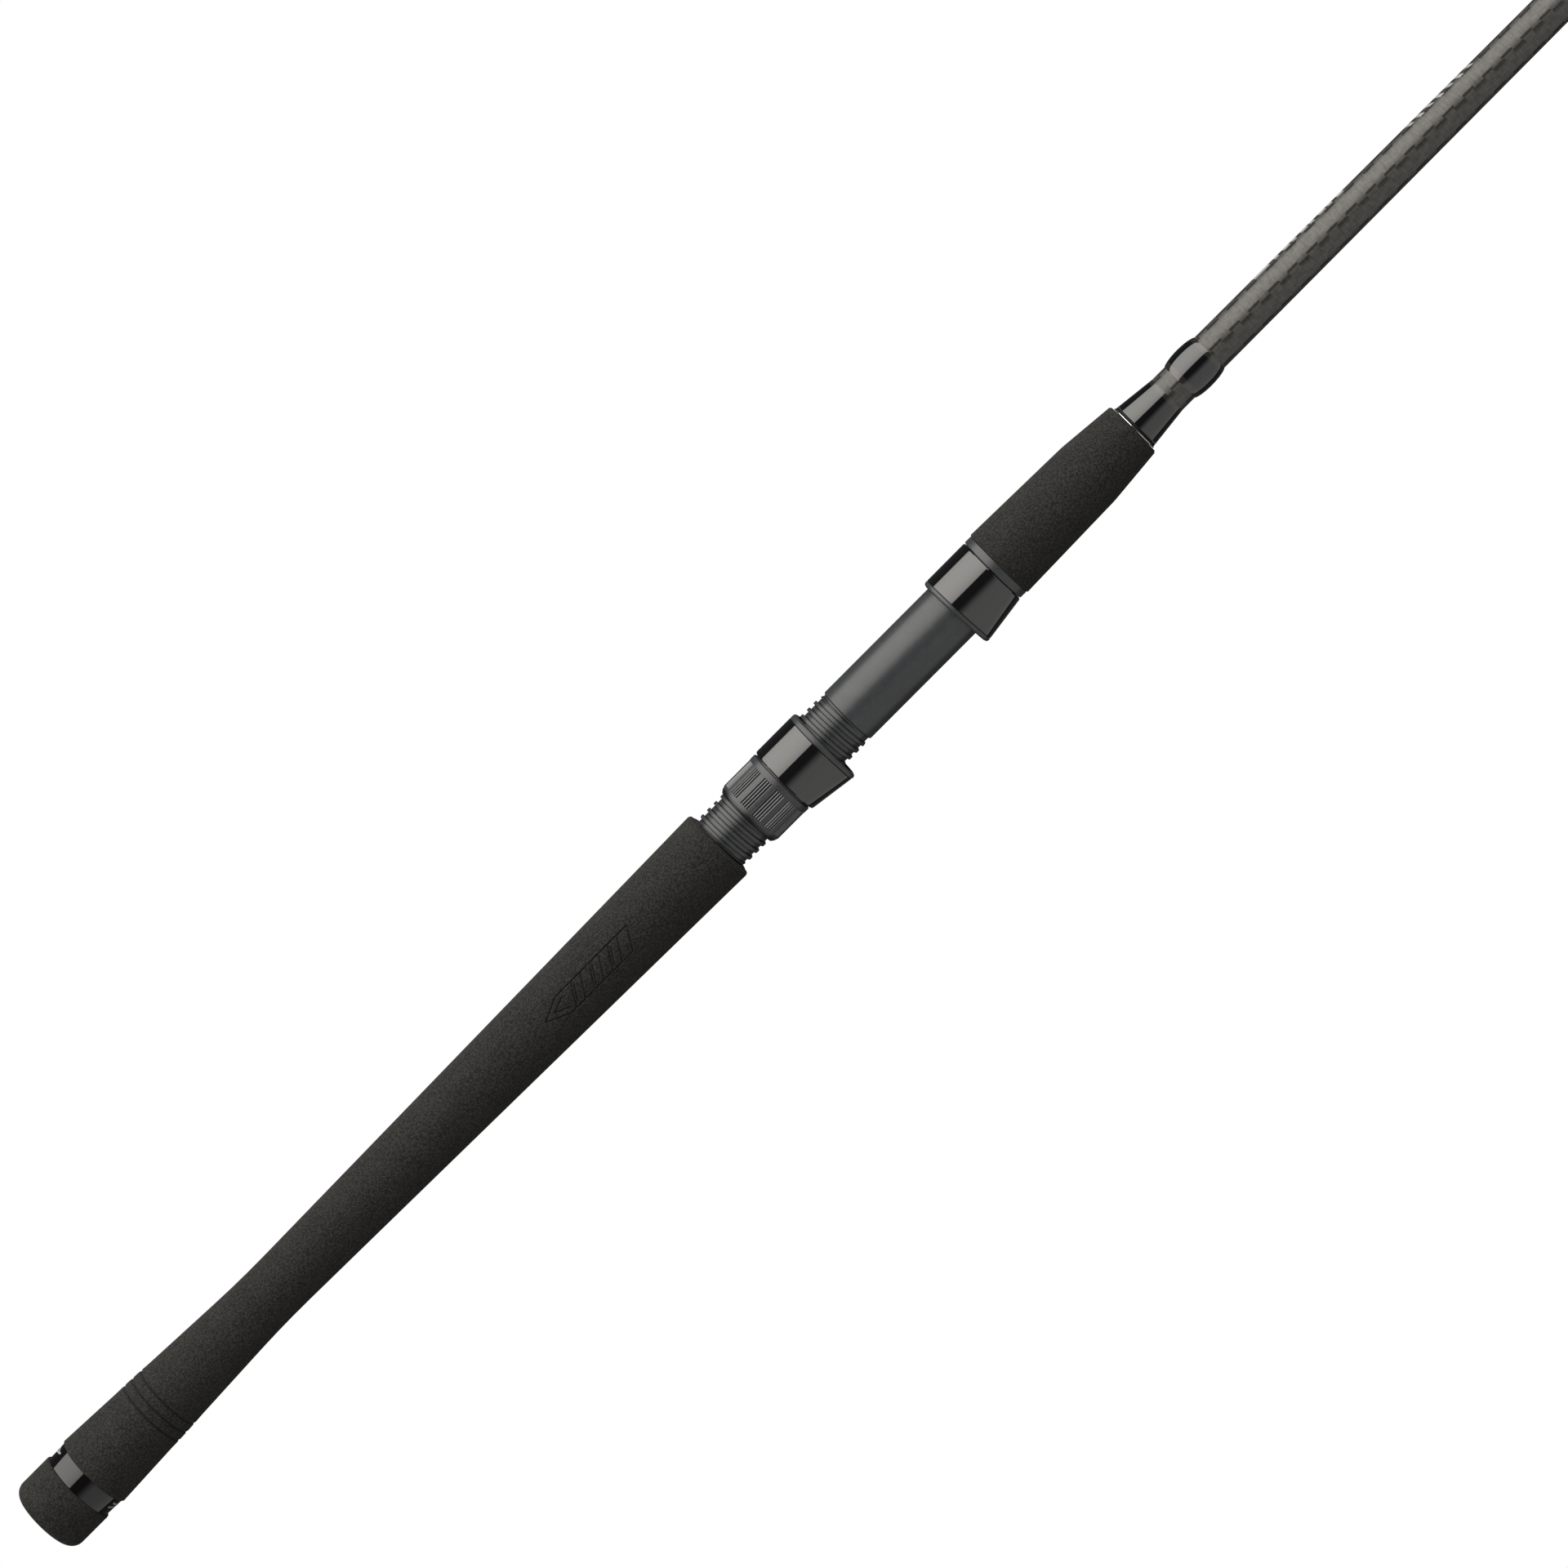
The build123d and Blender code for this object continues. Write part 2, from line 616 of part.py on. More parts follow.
for number, guide in enumerate(GUIDES, start=1):
    station, size, wall, height, wire_radius, foot, two_feet = guide
    blank = butt_blank_radius if station < FERRULE_START else tip_blank_radius
    ring_y = -(blank(station) + height)
    hoop_outer = size / 2 + GLUE + HOOP_WALL
    spread = (hoop_outer - HOOP_WALL / 2) * math.sqrt(0.5)
    directions = (1, -1) if two_feet else (1,)

    with BuildPart() as guide_ring:
        ceramic_ring(station, ring_y, size, wall)
    finish_piece(guide_ring, f"guide_{number}_ring")

    with BuildPart() as guide_frame:
        hoop(station, ring_y, 0, hoop_outer, HOOP_WIDTH)
        for direction in directions:
            heel = station + direction * height * 0.6
            knee_y = -(blank(min(heel, station)) + wire_radius + 0.1)
            for side in (1, -1):
                wire((station, ring_y + spread, side * spread), (heel, knee_y, side * 0.3), wire_radius)
            foot_tongue(heel, direction * foot, blank)
        hoop(station, ring_y, 0, size / 2 + GLUE, 4 * HOOP_WIDTH, mode=Mode.SUBTRACT)
    finish_piece(guide_frame, f"guide_{number}_frame")

    for direction, side_name in zip(directions, ("front", "rear")):
        heel = station + direction * height * 0.6
        with BuildPart() as guide_wrap:
            foot_wrap(heel, direction * foot, blank)
        finish_piece(guide_wrap, f"guide_{number}_wrap_{side_name}")

# ---------------------------------------------------------------- tip top

top_ring_x = ROD_LENGTH - HOOP_WIDTH / 2
top_ring_y = -(TOP_TUBE_RADIUS + TOP_RING_SIZE / 2 + HOOP_WALL + 0.6)
top_tube_start = TIP_BLANK_END - TOP_TUBE_LENGTH

with BuildPart() as tip_top_ring:
    ceramic_ring(top_ring_x, top_ring_y, TOP_RING_SIZE, TOP_RING_WALL)
finish_piece(tip_top_ring, "tip_top_ring")

with BuildPart() as tip_top_frame:
    turn(
        (top_tube_start, tip_blank_radius(top_tube_start) + GLUE),
        (top_tube_start, TOP_TUBE_RADIUS),
        (TIP_BLANK_END + 0.6, TOP_TUBE_RADIUS),
        (TIP_BLANK_END + 0.6, 0),
        (TIP_BLANK_END + GLUE, 0),
        (TIP_BLANK_END + GLUE, TIP_RADIUS + GLUE),
    )
    hoop(top_ring_x, top_ring_y, 0, TOP_RING_SIZE / 2 + GLUE + HOOP_WALL, HOOP_WIDTH)
    spread = (TOP_RING_SIZE / 2 + HOOP_WALL / 2) * math.sqrt(0.5)
    for side in (1, -1):
        wire(
            (top_ring_x, top_ring_y + spread, side * spread),
            (top_tube_start + 5.0, -0.4, side * (TOP_TUBE_RADIUS + 0.1)),
            TOP_WIRE,
        )
    hoop(top_ring_x, top_ring_y, 0, TOP_RING_SIZE / 2 + GLUE, 4 * HOOP_WIDTH, mode=Mode.SUBTRACT)
finish_piece(tip_top_frame, "tip_top_frame")

with BuildPart() as tip_wrap:
    wrap_start = top_tube_start - TIP_WRAP_LENGTH
    wrap_end = top_tube_start - GLUE
    turn(
        *sleeve_bore(wrap_start, wrap_end, tip_blank_radius),
        (wrap_start, tip_blank_radius(wrap_start) + 0.15),
        (wrap_start + 1.0, tip_blank_radius(wrap_start) + 0.4),
        (wrap_end, TOP_TUBE_RADIUS),
    )
finish_piece(tip_wrap, "tip_wrap")
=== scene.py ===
import json
import math

import bmesh
import bpy
import numpy as np
from mathutils import Matrix, Vector

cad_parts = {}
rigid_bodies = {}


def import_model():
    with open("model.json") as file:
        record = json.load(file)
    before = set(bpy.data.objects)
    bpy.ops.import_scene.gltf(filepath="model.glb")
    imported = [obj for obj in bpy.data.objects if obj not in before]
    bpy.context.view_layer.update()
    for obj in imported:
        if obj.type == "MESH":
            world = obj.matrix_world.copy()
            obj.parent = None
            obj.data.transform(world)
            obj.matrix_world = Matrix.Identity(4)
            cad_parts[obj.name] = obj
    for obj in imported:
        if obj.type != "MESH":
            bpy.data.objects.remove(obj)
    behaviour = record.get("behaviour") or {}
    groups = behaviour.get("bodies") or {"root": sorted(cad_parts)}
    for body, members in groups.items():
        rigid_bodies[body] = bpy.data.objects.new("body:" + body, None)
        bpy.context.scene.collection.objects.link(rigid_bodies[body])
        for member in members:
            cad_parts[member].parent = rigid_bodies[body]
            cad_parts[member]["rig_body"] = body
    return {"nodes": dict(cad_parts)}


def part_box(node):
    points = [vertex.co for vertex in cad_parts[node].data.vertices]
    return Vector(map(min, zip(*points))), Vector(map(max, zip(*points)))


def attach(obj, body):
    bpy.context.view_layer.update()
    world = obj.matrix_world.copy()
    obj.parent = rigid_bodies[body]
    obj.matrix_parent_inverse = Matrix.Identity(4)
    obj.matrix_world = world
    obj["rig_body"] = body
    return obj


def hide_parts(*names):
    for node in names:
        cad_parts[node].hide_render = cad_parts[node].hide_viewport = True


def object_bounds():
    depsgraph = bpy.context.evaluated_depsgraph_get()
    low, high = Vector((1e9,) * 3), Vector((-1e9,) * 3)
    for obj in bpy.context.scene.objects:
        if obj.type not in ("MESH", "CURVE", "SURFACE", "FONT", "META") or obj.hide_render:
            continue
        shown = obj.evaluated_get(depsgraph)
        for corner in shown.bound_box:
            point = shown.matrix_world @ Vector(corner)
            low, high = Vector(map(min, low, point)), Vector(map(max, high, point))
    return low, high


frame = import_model()
cad_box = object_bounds()

MM = 0.001
ROUND = 160  # segments round a turned piece
SHARP_EDGE = math.radians(35)  # a turned piece's edges above this angle stay sharp


def ends_of(node):
    """A node's first and last station."""
    low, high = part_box(node)
    return low.x, high.x


# ---------------------------------------------------------------- node helpers


def new_material(name):
    """An empty Principled material: (material, node tree, shader)."""
    made = bpy.data.materials.new(name)
    made.use_nodes = True
    tree = made.node_tree
    return made, tree, tree.nodes["Principled BSDF"]


def add(tree, kind, **sockets):
    """A node of that kind with its sockets set, each to a value or a link."""
    made = tree.nodes.new(kind)
    for key, value in sockets.items():
        plug(tree, made.inputs[key.replace("_", " ")], value)
    return made


def plug(tree, socket, value):
    """Links a socket to another, or sets its value."""
    if isinstance(value, bpy.types.NodeSocket):
        tree.links.new(value, socket)
    else:
        socket.default_value = value


def calc(tree, operation, *values):
    """One Math node's result."""
    made = tree.nodes.new("ShaderNodeMath")
    made.operation = operation
    for socket, value in zip(made.inputs, values):
        plug(tree, socket, value)
    return made.outputs[0]


def times(tree, a, b):
    return calc(tree, "MULTIPLY", a, b)


def plus(tree, a, b):
    return calc(tree, "ADD", a, b)


def ramp(tree, factor, low, high, start, end):
    """A smooth change from the value low to high as factor goes from start to end."""
    made = tree.nodes.new("ShaderNodeMapRange")
    made.interpolation_type = "SMOOTHSTEP"
    values = {"Value": factor, "From Min": start, "From Max": end, "To Min": low, "To Max": high}
    for key, value in values.items():
        plug(tree, made.inputs[key], value)
    return made.outputs[0]


def window(tree, value, start, end, edge):
    """1 from start to end and 0 outside, with a smooth edge of that width inside each."""
    rise = ramp(tree, value, 0.0, 1.0, start, start + edge)
    return times(tree, rise, ramp(tree, value, 1.0, 0.0, end - edge, end))


def mix_colour(tree, factor, a, b):
    """Colour a where factor is 0 and b where it is 1."""
    made = tree.nodes.new("ShaderNodeMix")
    made.data_type = "RGBA"
    for socket, value in ((made.inputs[0], factor), (made.inputs[6], a), (made.inputs[7], b)):
        plug(tree, socket, value)
    return made.outputs[2]


def millimetres(tree):
    """The surface point in the rod's frame, in millimetres."""
    where = tree.nodes.new("ShaderNodeTexCoord").outputs["Object"]
    made = tree.nodes.new("ShaderNodeVectorMath")
    made.operation = "SCALE"
    plug(tree, made.inputs[0], where)
    plug(tree, made.inputs["Scale"], 1000.0)
    return made.outputs[0]


def noise(tree, point, scale, detail, roughness=0.5):
    """A noise value whose grains are 1/scale millimetres."""
    made = add(tree, "ShaderNodeTexNoise", Vector=point, Scale=scale, Detail=detail, Roughness=roughness)
    return made.outputs["Fac"]


def stretched_noise(tree, point, stretch, detail, roughness=0.5):
    """A noise value whose grains are 1/stretch millimetres along x, y and z."""
    scaled = add(tree, "ShaderNodeMapping", Vector=point, Scale=stretch).outputs[0]
    return noise(tree, scaled, 1.0, detail, roughness)


def bump(tree, shader, height, strength, distance_mm):
    """Gives the shader a bump of that height."""
    made = add(tree, "ShaderNodeBump", Height=height, Strength=strength, Distance=distance_mm * MM)
    plug(tree, shader.inputs["Normal"], made.outputs["Normal"])


def station(tree, point):
    """How far along the rod a point is."""
    return add(tree, "ShaderNodeSeparateXYZ", Vector=point).outputs[0]


def round_the_rod(tree, point):
    """(station along the rod, angle about it in radians, from +Z towards -Y)."""
    x, y, z = add(tree, "ShaderNodeSeparateXYZ", Vector=point).outputs
    return x, calc(tree, "ARCTAN2", times(tree, y, -1.0), z)


def from_the_axis(tree, point):
    """(station along the rod, distance from its axis)."""
    x, y, z = add(tree, "ShaderNodeSeparateXYZ", Vector=point).outputs
    return x, calc(tree, "SQRT", plus(tree, times(tree, y, y), times(tree, z, z)))


# ---------------------------------------------------------------- materials

GRIP_GROOVES = (52.9 * MM, 56.7 * MM, 60.7 * MM)
# painted shade: how far the foam's colour darkens at the bottom of each turned groove
GROOVE_SHADE = 0.6
FOAM_DARK = (0.0042, 0.0041, 0.0038, 1)
FOAM_PALE = (0.0264, 0.0257, 0.0240, 1)
# the painted shade colour put in the turned grooves
SHADED_FOAM = (0.003, 0.003, 0.003, 1)


def foam_material():
    """Closed-cell EVA foam: near-black, matt, with a sanded grain, and painted shade darkening the turned
    grooves.
    """
    made, tree, shader = new_material("eva_foam")
    point = millimetres(tree)
    x = station(tree, point)
    shade = 0.0
    # painted shade along each turned groove
    for groove in GRIP_GROOVES:
        gap = calc(tree, "ABSOLUTE", calc(tree, "SUBTRACT", x, groove / MM))
        shade = calc(tree, "MAXIMUM", shade, ramp(tree, gap, GROOVE_SHADE, 0.0, 0.2, 0.6))
    grain = noise(tree, point, 1.5, 3.0, 0.65)
    cells = add(tree, "ShaderNodeTexVoronoi", Vector=point, Scale=2.1).outputs["Distance"]
    cloud = noise(tree, point, 0.12, 2.0)
    speckle = ramp(tree, grain, 0.0, 1.0, 0.36, 0.68)
    tone = plus(tree, times(tree, speckle, 0.85), times(tree, cloud, 0.25))
    colour = mix_colour(tree, tone, FOAM_DARK, FOAM_PALE)
    plug(tree, shader.inputs["Base Color"], mix_colour(tree, shade, colour, SHADED_FOAM))
    plug(tree, shader.inputs["Roughness"], ramp(tree, grain, 0.75, 0.95, 0.3, 0.7))
    shader.inputs["Specular IOR Level"].default_value = 0.07
    shader.inputs["Sheen Weight"].default_value = 0.035
    shader.inputs["Sheen Roughness"].default_value = 0.5
    height = plus(tree, times(tree, grain, 0.7), times(tree, cells, 0.45))
    bump(tree, shader, height, 0.8, 0.22)
    return made


def gloss_material(name, colour, roughness, ior):
    """Polished lacquer with the faintest orange peel and dust-fine haze."""
    made, tree, shader = new_material(name)
    point = millimetres(tree)
    haze = noise(tree, point, 0.35, 3.0)
    hazed = tuple(1.6 * c for c in colour[:3]) + (1,)
    plug(tree, shader.inputs["Base Color"], mix_colour(tree, haze, colour, hazed))
    plug(tree, shader.inputs["Roughness"], ramp(tree, haze, roughness, roughness * 1.8, 0.3, 0.75))
    shader.inputs["IOR"].default_value = ior
    bump(tree, shader, noise(tree, point, 0.5, 1.0), 0.05, 0.02)
    return made


GRAPHITE_DARK = (0.0160, 0.0172, 0.0190, 1)
GRAPHITE_PALE = (0.0300, 0.0320, 0.0352, 1)


def graphite_material(name):
    """Moulded graphite-filled nylon: blue-grey satin with a fine sparkle and faint flow marks."""
    made, tree, shader = new_material(name)
    point = millimetres(tree)
    fine = noise(tree, point, 3.0, 3.0, 0.65)
    flow = noise(tree, point, 0.25, 3.0)
    tone = plus(tree, times(tree, fine, 0.8), times(tree, flow, 0.2))
    tone = ramp(tree, tone, 0.0, 1.0, 0.33, 0.67)
    plug(tree, shader.inputs["Base Color"], mix_colour(tree, tone, GRAPHITE_DARK, GRAPHITE_PALE))
    plug(tree, shader.inputs["Roughness"], ramp(tree, fine, 0.29, 0.40, 0.3, 0.7))
    shader.inputs["IOR"].default_value = 1.48
    bump(tree, shader, fine, 0.25, 0.06)
    return made


def graphite_to_tint(name):
    """Graphite whose colour can be worked on: (material, node tree, colour socket, plain colour)."""
    made = graphite_material(name)
    tree = made.node_tree
    socket = tree.nodes["Principled BSDF"].inputs["Base Color"]
    return made, tree, socket, socket.links[0].from_socket


RIB_GROUPS = 14
RIB_GROUP_TURN = -1.8  # degrees from +Y to the middle of a group of ribs
RIB_GROUP_HALF = 8.7  # degrees
RIB_RADIUS = 12.85  # mm
BEFORE_RIBS = 2.8  # mm of plain nut
AFTER_RIBS = 2.4
# painted highlight colour on the ribs' tops
RIB_PAINTED_HIGHLIGHT = (0.11, 0.113, 0.118, 1)
# painted shade: the near-black put in the nut's grooves and along the feet of the seat's thread
PAINTED_SHADE_BLACK = (0.0015, 0.0015, 0.002, 1)


def nut_material():
    """The lock nut's graphite, with painted shade in the grooves and a painted highlight on the ribs
    between them.
    """
    made, tree, socket, plain = graphite_to_tint("nut_graphite")
    point = millimetres(tree)
    _, angle = round_the_rod(tree, point)
    x, radius = from_the_axis(tree, point)
    first = 0.5 + RIB_GROUPS * (90 - RIB_GROUP_TURN) / 360
    group = calc(tree, "FRACT", plus(tree, times(tree, angle, RIB_GROUPS / math.tau), first))
    off_middle = calc(tree, "ABSOLUTE", calc(tree, "SUBTRACT", group, 0.5))
    edge = RIB_GROUP_HALF * RIB_GROUPS / 360
    # painted highlight: the ribs between each group's grooves are made paler
    rib_highlight = ramp(tree, off_middle, 1.0, 0.0, edge - 0.01, edge + 0.01)
    rib_highlight = times(tree, rib_highlight, ramp(tree, radius, 0.0, 1.0, RIB_RADIUS - 0.2, RIB_RADIUS - 0.1))
    start, end = ends_of("lock_nut")
    ribbed = window(tree, x, start / MM + BEFORE_RIBS, end / MM - AFTER_RIBS, 0.2)
    rib_highlight = times(tree, rib_highlight, ribbed)
    colour = mix_colour(tree, rib_highlight, plain, RIB_PAINTED_HIGHLIGHT)
    # painted shade: darker towards the bottom of each groove
    out_of_groove_shade = ramp(tree, radius, 0.0, 1.0, RIB_RADIUS - 0.33, RIB_RADIUS - 0.15)
    plug(tree, socket, mix_colour(tree, out_of_groove_shade, PAINTED_SHADE_BLACK, colour))
    return made


THREAD_FLOOR = 10.3  # mm from the axis


def seat_material():
    """The reel seat's graphite, with painted shade along the feet of the thread."""
    made, tree, socket, plain = graphite_to_tint("seat_graphite")
    _, radius = from_the_axis(tree, millimetres(tree))
    # painted shade: darkens the thread's foot grooves and lower flanks, but not its floor
    off_floor = calc(tree, "ABSOLUTE", calc(tree, "SUBTRACT", radius, THREAD_FLOOR))
    foot = ramp(tree, off_floor, 0.0, 1.0, 0.01, 0.04)
    foot = times(tree, foot, ramp(tree, radius, 1.0, 0.0, THREAD_FLOOR + 0.25, THREAD_FLOOR + 0.4))
    plug(tree, socket, mix_colour(tree, foot, plain, PAINTED_SHADE_BLACK))
    return made


def bushing_material():
    """Rigid foam of the seat's inner bushings: pale grey with open pores."""
    made, tree, shader = new_material("bushing_foam")
    point = millimetres(tree)
    pores = add(tree, "ShaderNodeTexVoronoi", Vector=point, Scale=1.6).outputs["Distance"]
    open_pore = ramp(tree, pores, 0.0, 1.0, 0.15, 0.35)
    colour = mix_colour(tree, open_pore, (0.08, 0.08, 0.078, 1), (0.22, 0.22, 0.215, 1))
    plug(tree, shader.inputs["Base Color"], colour)
    shader.inputs["Roughness"].default_value = 0.9
    bump(tree, shader, open_pore, 0.6, 0.25)
    return made


WEAVE_ROWS = 22  # rows of tows round the blank
WEAVE_TURN = -1.0  # degrees
TOW_PITCH = 9.15  # mm along the blank
MATT_TOW = ((0.041, 0.0398, 0.0368, 1), (0.073, 0.0712, 0.0660, 1))
POLISHED_TOW = ((0.032, 0.0310, 0.0285, 1), (0.060, 0.0584, 0.0538, 1))


def carbon_material():
    """Woven carbon under satin clear coat. Every second tow is polished and the others are matt,
    so that the weave shows mostly where the light changes."""
    made, tree, shader = new_material("carbon_blank")
    point = millimetres(tree)
    x, angle = round_the_rod(tree, point)
    row = times(tree, plus(tree, angle, math.radians(WEAVE_TURN)), WEAVE_ROWS / math.tau)
    staggered = times(tree, calc(tree, "FLOOR", row), 0.5)
    shifted = plus(tree, calc(tree, "DIVIDE", x, TOW_PITCH), staggered)
    wander = times(tree, calc(tree, "SUBTRACT", noise(tree, point, 0.3, 2.0), 0.5), 0.3)
    along = plus(tree, calc(tree, "FRACT", shifted), wander)
    across = calc(tree, "FRACT", row)
    tow = times(tree, window(tree, along, 0.02, 0.62, 0.06), window(tree, across, 0.0, 1.0, 0.1))
    warp = stretched_noise(tree, point, (0.35, 3.0, 3.0), 3.0, 0.6)
    weft = stretched_noise(tree, point, (1.1, 0.3, 0.3), 2.0)
    tone = plus(tree, times(tree, warp, 0.5), times(tree, weft, 0.5))
    tone = ramp(tree, tone, 0.0, 1.0, 0.3, 0.7)
    matt = mix_colour(tree, tone, *MATT_TOW)
    polished = mix_colour(tree, tone, *POLISHED_TOW)
    plug(tree, shader.inputs["Base Color"], mix_colour(tree, tow, matt, polished))
    shader.inputs["Metallic"].default_value = 0.55
    plug(tree, shader.inputs["Roughness"], ramp(tree, tow, 0.46, 0.12, 0.0, 1.0))
    shader.inputs["Coat Weight"].default_value = 0.1
    shader.inputs["Coat Roughness"].default_value = 0.3
    bump(tree, shader, plus(tree, tow, times(tree, warp, 0.5)), 0.10, 0.03)
    return made


THREAD_WIDTH = 0.22  # mm along the rod for one turn of winding thread
BLACK_THREAD = ((0.0006, 0.0008, 0.0012, 1), (0.0012, 0.0016, 0.0024, 1))
COVERED_CARBON = ((0.004, 0.0038, 0.0034, 1), (0.022, 0.0212, 0.0186, 1))


def wrap_material(name, first_mm, last_mm):
    """Thick gloss epoxy, over black thread from the first station to the last and over bare carbon
    before and after."""
    made, tree, shader = new_material(name)
    point = millimetres(tree)
    x = station(tree, point)
    turns = calc(tree, "SINE", times(tree, x, math.tau / THREAD_WIDTH))
    thread = mix_colour(tree, ramp(tree, turns, 0.0, 1.0, -1, 1), *BLACK_THREAD)
    before = ramp(tree, x, 1.0, 0.0, first_mm - 0.15, first_mm + 0.15)
    after = ramp(tree, x, 0.0, 1.0, last_mm - 0.15, last_mm + 0.15)
    bare = calc(tree, "MAXIMUM", before, after)
    covered = mix_colour(tree, noise(tree, point, 0.7, 2.0), *COVERED_CARBON)
    plug(tree, shader.inputs["Base Color"], mix_colour(tree, bare, thread, covered))
    plug(tree, shader.inputs["Roughness"], ramp(tree, noise(tree, point, 0.3, 2.0), 0.03, 0.06, 0.3, 0.7))
    shader.inputs["IOR"].default_value = 1.7
    bump(tree, shader, noise(tree, point, 0.35, 1.0), 0.06, 0.03)
    return made


def metal_material(name, colour, roughness):
    """Plated wire with brushed micro scratches and slight tarnish."""
    made, tree, shader = new_material(name)
    point = millimetres(tree)
    scratch = stretched_noise(tree, point, (0.6, 6.0, 6.0), 3.0)
    tarnish = noise(tree, point, 0.4, 2.0)
    darker = tuple(0.7 * c for c in colour) + (1,)
    plug(tree, shader.inputs["Base Color"], mix_colour(tree, tarnish, colour + (1,), darker))
    plug(tree, shader.inputs["Metallic"], 1.0)
    plug(tree, shader.inputs["Roughness"], ramp(tree, scratch, roughness, roughness * 1.7, 0.3, 0.7))
    bump(tree, shader, scratch, 0.08, 0.02)
    return made


def lip_material(split_mm):
    """A winding check: a polished lip, and matt black lacquer in front of that station, kept dull and
    dark so it also stands in for the shade there.
    """
    made, tree, shader = new_material("check_lip")
    point = millimetres(tree)
    x = station(tree, point)
    # the matt black section is partly the check's black body and partly painted shade
    lacquer = ramp(tree, x, 0.0, 1.0, split_mm - 0.03, split_mm + 0.03)
    scratch = stretched_noise(tree, point, (5.0, 0.6, 0.6), 3.0)
    bright = mix_colour(tree, scratch, (0.72, 0.72, 0.74, 1), (0.55, 0.55, 0.57, 1))
    black = (0.003, 0.003, 0.0035, 1)
    plug(tree, shader.inputs["Base Color"], mix_colour(tree, lacquer, bright, black))
    plug(tree, shader.inputs["Metallic"], ramp(tree, lacquer, 1.0, 0.0, 0.0, 1.0))
    plug(tree, shader.inputs["Roughness"], ramp(tree, lacquer, 0.12, 0.6, 0.0, 1.0))
    shader.inputs["Specular IOR Level"].default_value = 0.12
    return made


def print_material():
    """Silver screen print, thin and slightly broken by the surface under it."""
    made, tree, shader = new_material("silver_print")
    point = millimetres(tree)
    wear = noise(tree, point, 1.6, 3.0)
    colour = mix_colour(tree, wear, (0.24, 0.245, 0.235, 1), (0.17, 0.172, 0.165, 1))
    plug(tree, shader.inputs["Base Color"], colour)
    plug(tree, shader.inputs["Roughness"], ramp(tree, wear, 0.45, 0.6, 0.3, 0.7))
    return made


LACQUER_BLACK = (0.0012, 0.0012, 0.0014, 1)
LIP_WIDTH = 0.46  # mm
CLEAR_BEHIND = 2.1  # mm of clear epoxy before the trim winding's thread
CLEAR_AHEAD = 1.7
CLEAR_AFTER_TAPER = 1.6

check_start = ends_of("check_ring")[0]
taper_start, taper_end = ends_of("taper_wrap")
trim_start, trim_end = ends_of("trim_wrap")

foam = foam_material()
gloss = gloss_material("gloss_black", LACQUER_BLACK, 0.035, 1.74)
ring_gloss = gloss_material("ring_black", LACQUER_BLACK, 0.04, 1.5)
graphite = graphite_material("graphite_grey")
carbon = carbon_material()
dark_metal = metal_material("dark_metal", (0.10, 0.10, 0.11), 0.22)
ceramic = gloss_material("guide_ceramic", (0.016, 0.017, 0.020, 1), 0.06, 1.9)
nut_graphite = nut_material()
seat_graphite = seat_material()
bushing = bushing_material()
silver = print_material()
taper_epoxy = wrap_material("taper_epoxy", taper_start / MM - 1.0, taper_end / MM - CLEAR_AFTER_TAPER)
trim_epoxy = wrap_material("trim_epoxy", trim_start / MM + CLEAR_BEHIND, trim_end / MM - CLEAR_AHEAD)
guide_epoxy = wrap_material("guide_epoxy", cad_box[0].x / MM - 1.0, cad_box[1].x / MM + 1.0)
check_lip = lip_material(check_start / MM + LIP_WIDTH)

# ---------------------------------------------------------------- mesh helpers


def mesh_piece(name, verts, faces, body, material, smooth=True):
    """A new piece from points and faces, riding on a CAD body."""
    mesh = bpy.data.meshes.new(name)
    mesh.from_pydata([tuple(v) for v in verts], [], faces)
    mesh.polygons.foreach_set("use_smooth", [smooth] * len(mesh.polygons))
    mesh.materials.append(material)
    mesh.update()
    piece = bpy.data.objects.new(name, mesh)
    bpy.context.scene.collection.objects.link(piece)
    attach(piece, body)
    return piece


def close_poles(piece):
    """Merges the points that meet on the axis and turns every face outwards."""
    work = bmesh.new()
    work.from_mesh(piece.data)
    bmesh.ops.remove_doubles(work, verts=work.verts, dist=1e-6)
    bmesh.ops.recalc_face_normals(work, faces=work.faces)
    work.to_mesh(piece.data)
    work.free()


def cad_profile(node):
    """The outside of a turned CAD node as (x, radius) rows in order of x, read from its mesh."""
    co = np.array([v.co for v in frame["nodes"][node].data.vertices], float)
    radii = np.hypot(co[:, 1], co[:, 2])
    rows = {}
    for x, r in zip(np.round(co[:, 0], 6), radii):
        rows[x] = max(rows.get(x, 0.0), r)
    return sorted(rows.items())


def cad_bore(node):
    """The inside of a sleeve as (x, radius) at its two ends, read from its mesh."""
    co = np.array([v.co for v in frame["nodes"][node].data.vertices], float)
    radii = np.hypot(co[:, 1], co[:, 2])
    ends = []
    for x in (co[:, 0].min(), co[:, 0].max()):
        ends.append((x, radii[np.abs(co[:, 0] - x) < 1e-5].min()))
    return ends


def follow(points, step):
    """More points along a line of (x, radius) points, at most step apart in x."""
    out = [points[0]]
    for (x0, r0), (x1, r1) in zip(points, points[1:]):
        count = max(1, math.ceil(abs(x1 - x0) / step))
        for i in range(1, count + 1):
            out.append((x0 + (x1 - x0) * i / count, r0 + (r1 - r0) * i / count))
    return out


def corner(centre, radius, start, end, steps):
    """Points round a rounded corner, angles in degrees from +x towards +radius."""
    turns = np.radians(np.linspace(start, end, steps))
    return [(centre[0] + radius * math.cos(a), centre[1] + radius * math.sin(a)) for a in turns]


def even_turns():
    """Angles about the rod, evenly spaced."""
    return np.arange(ROUND) * math.tau / ROUND


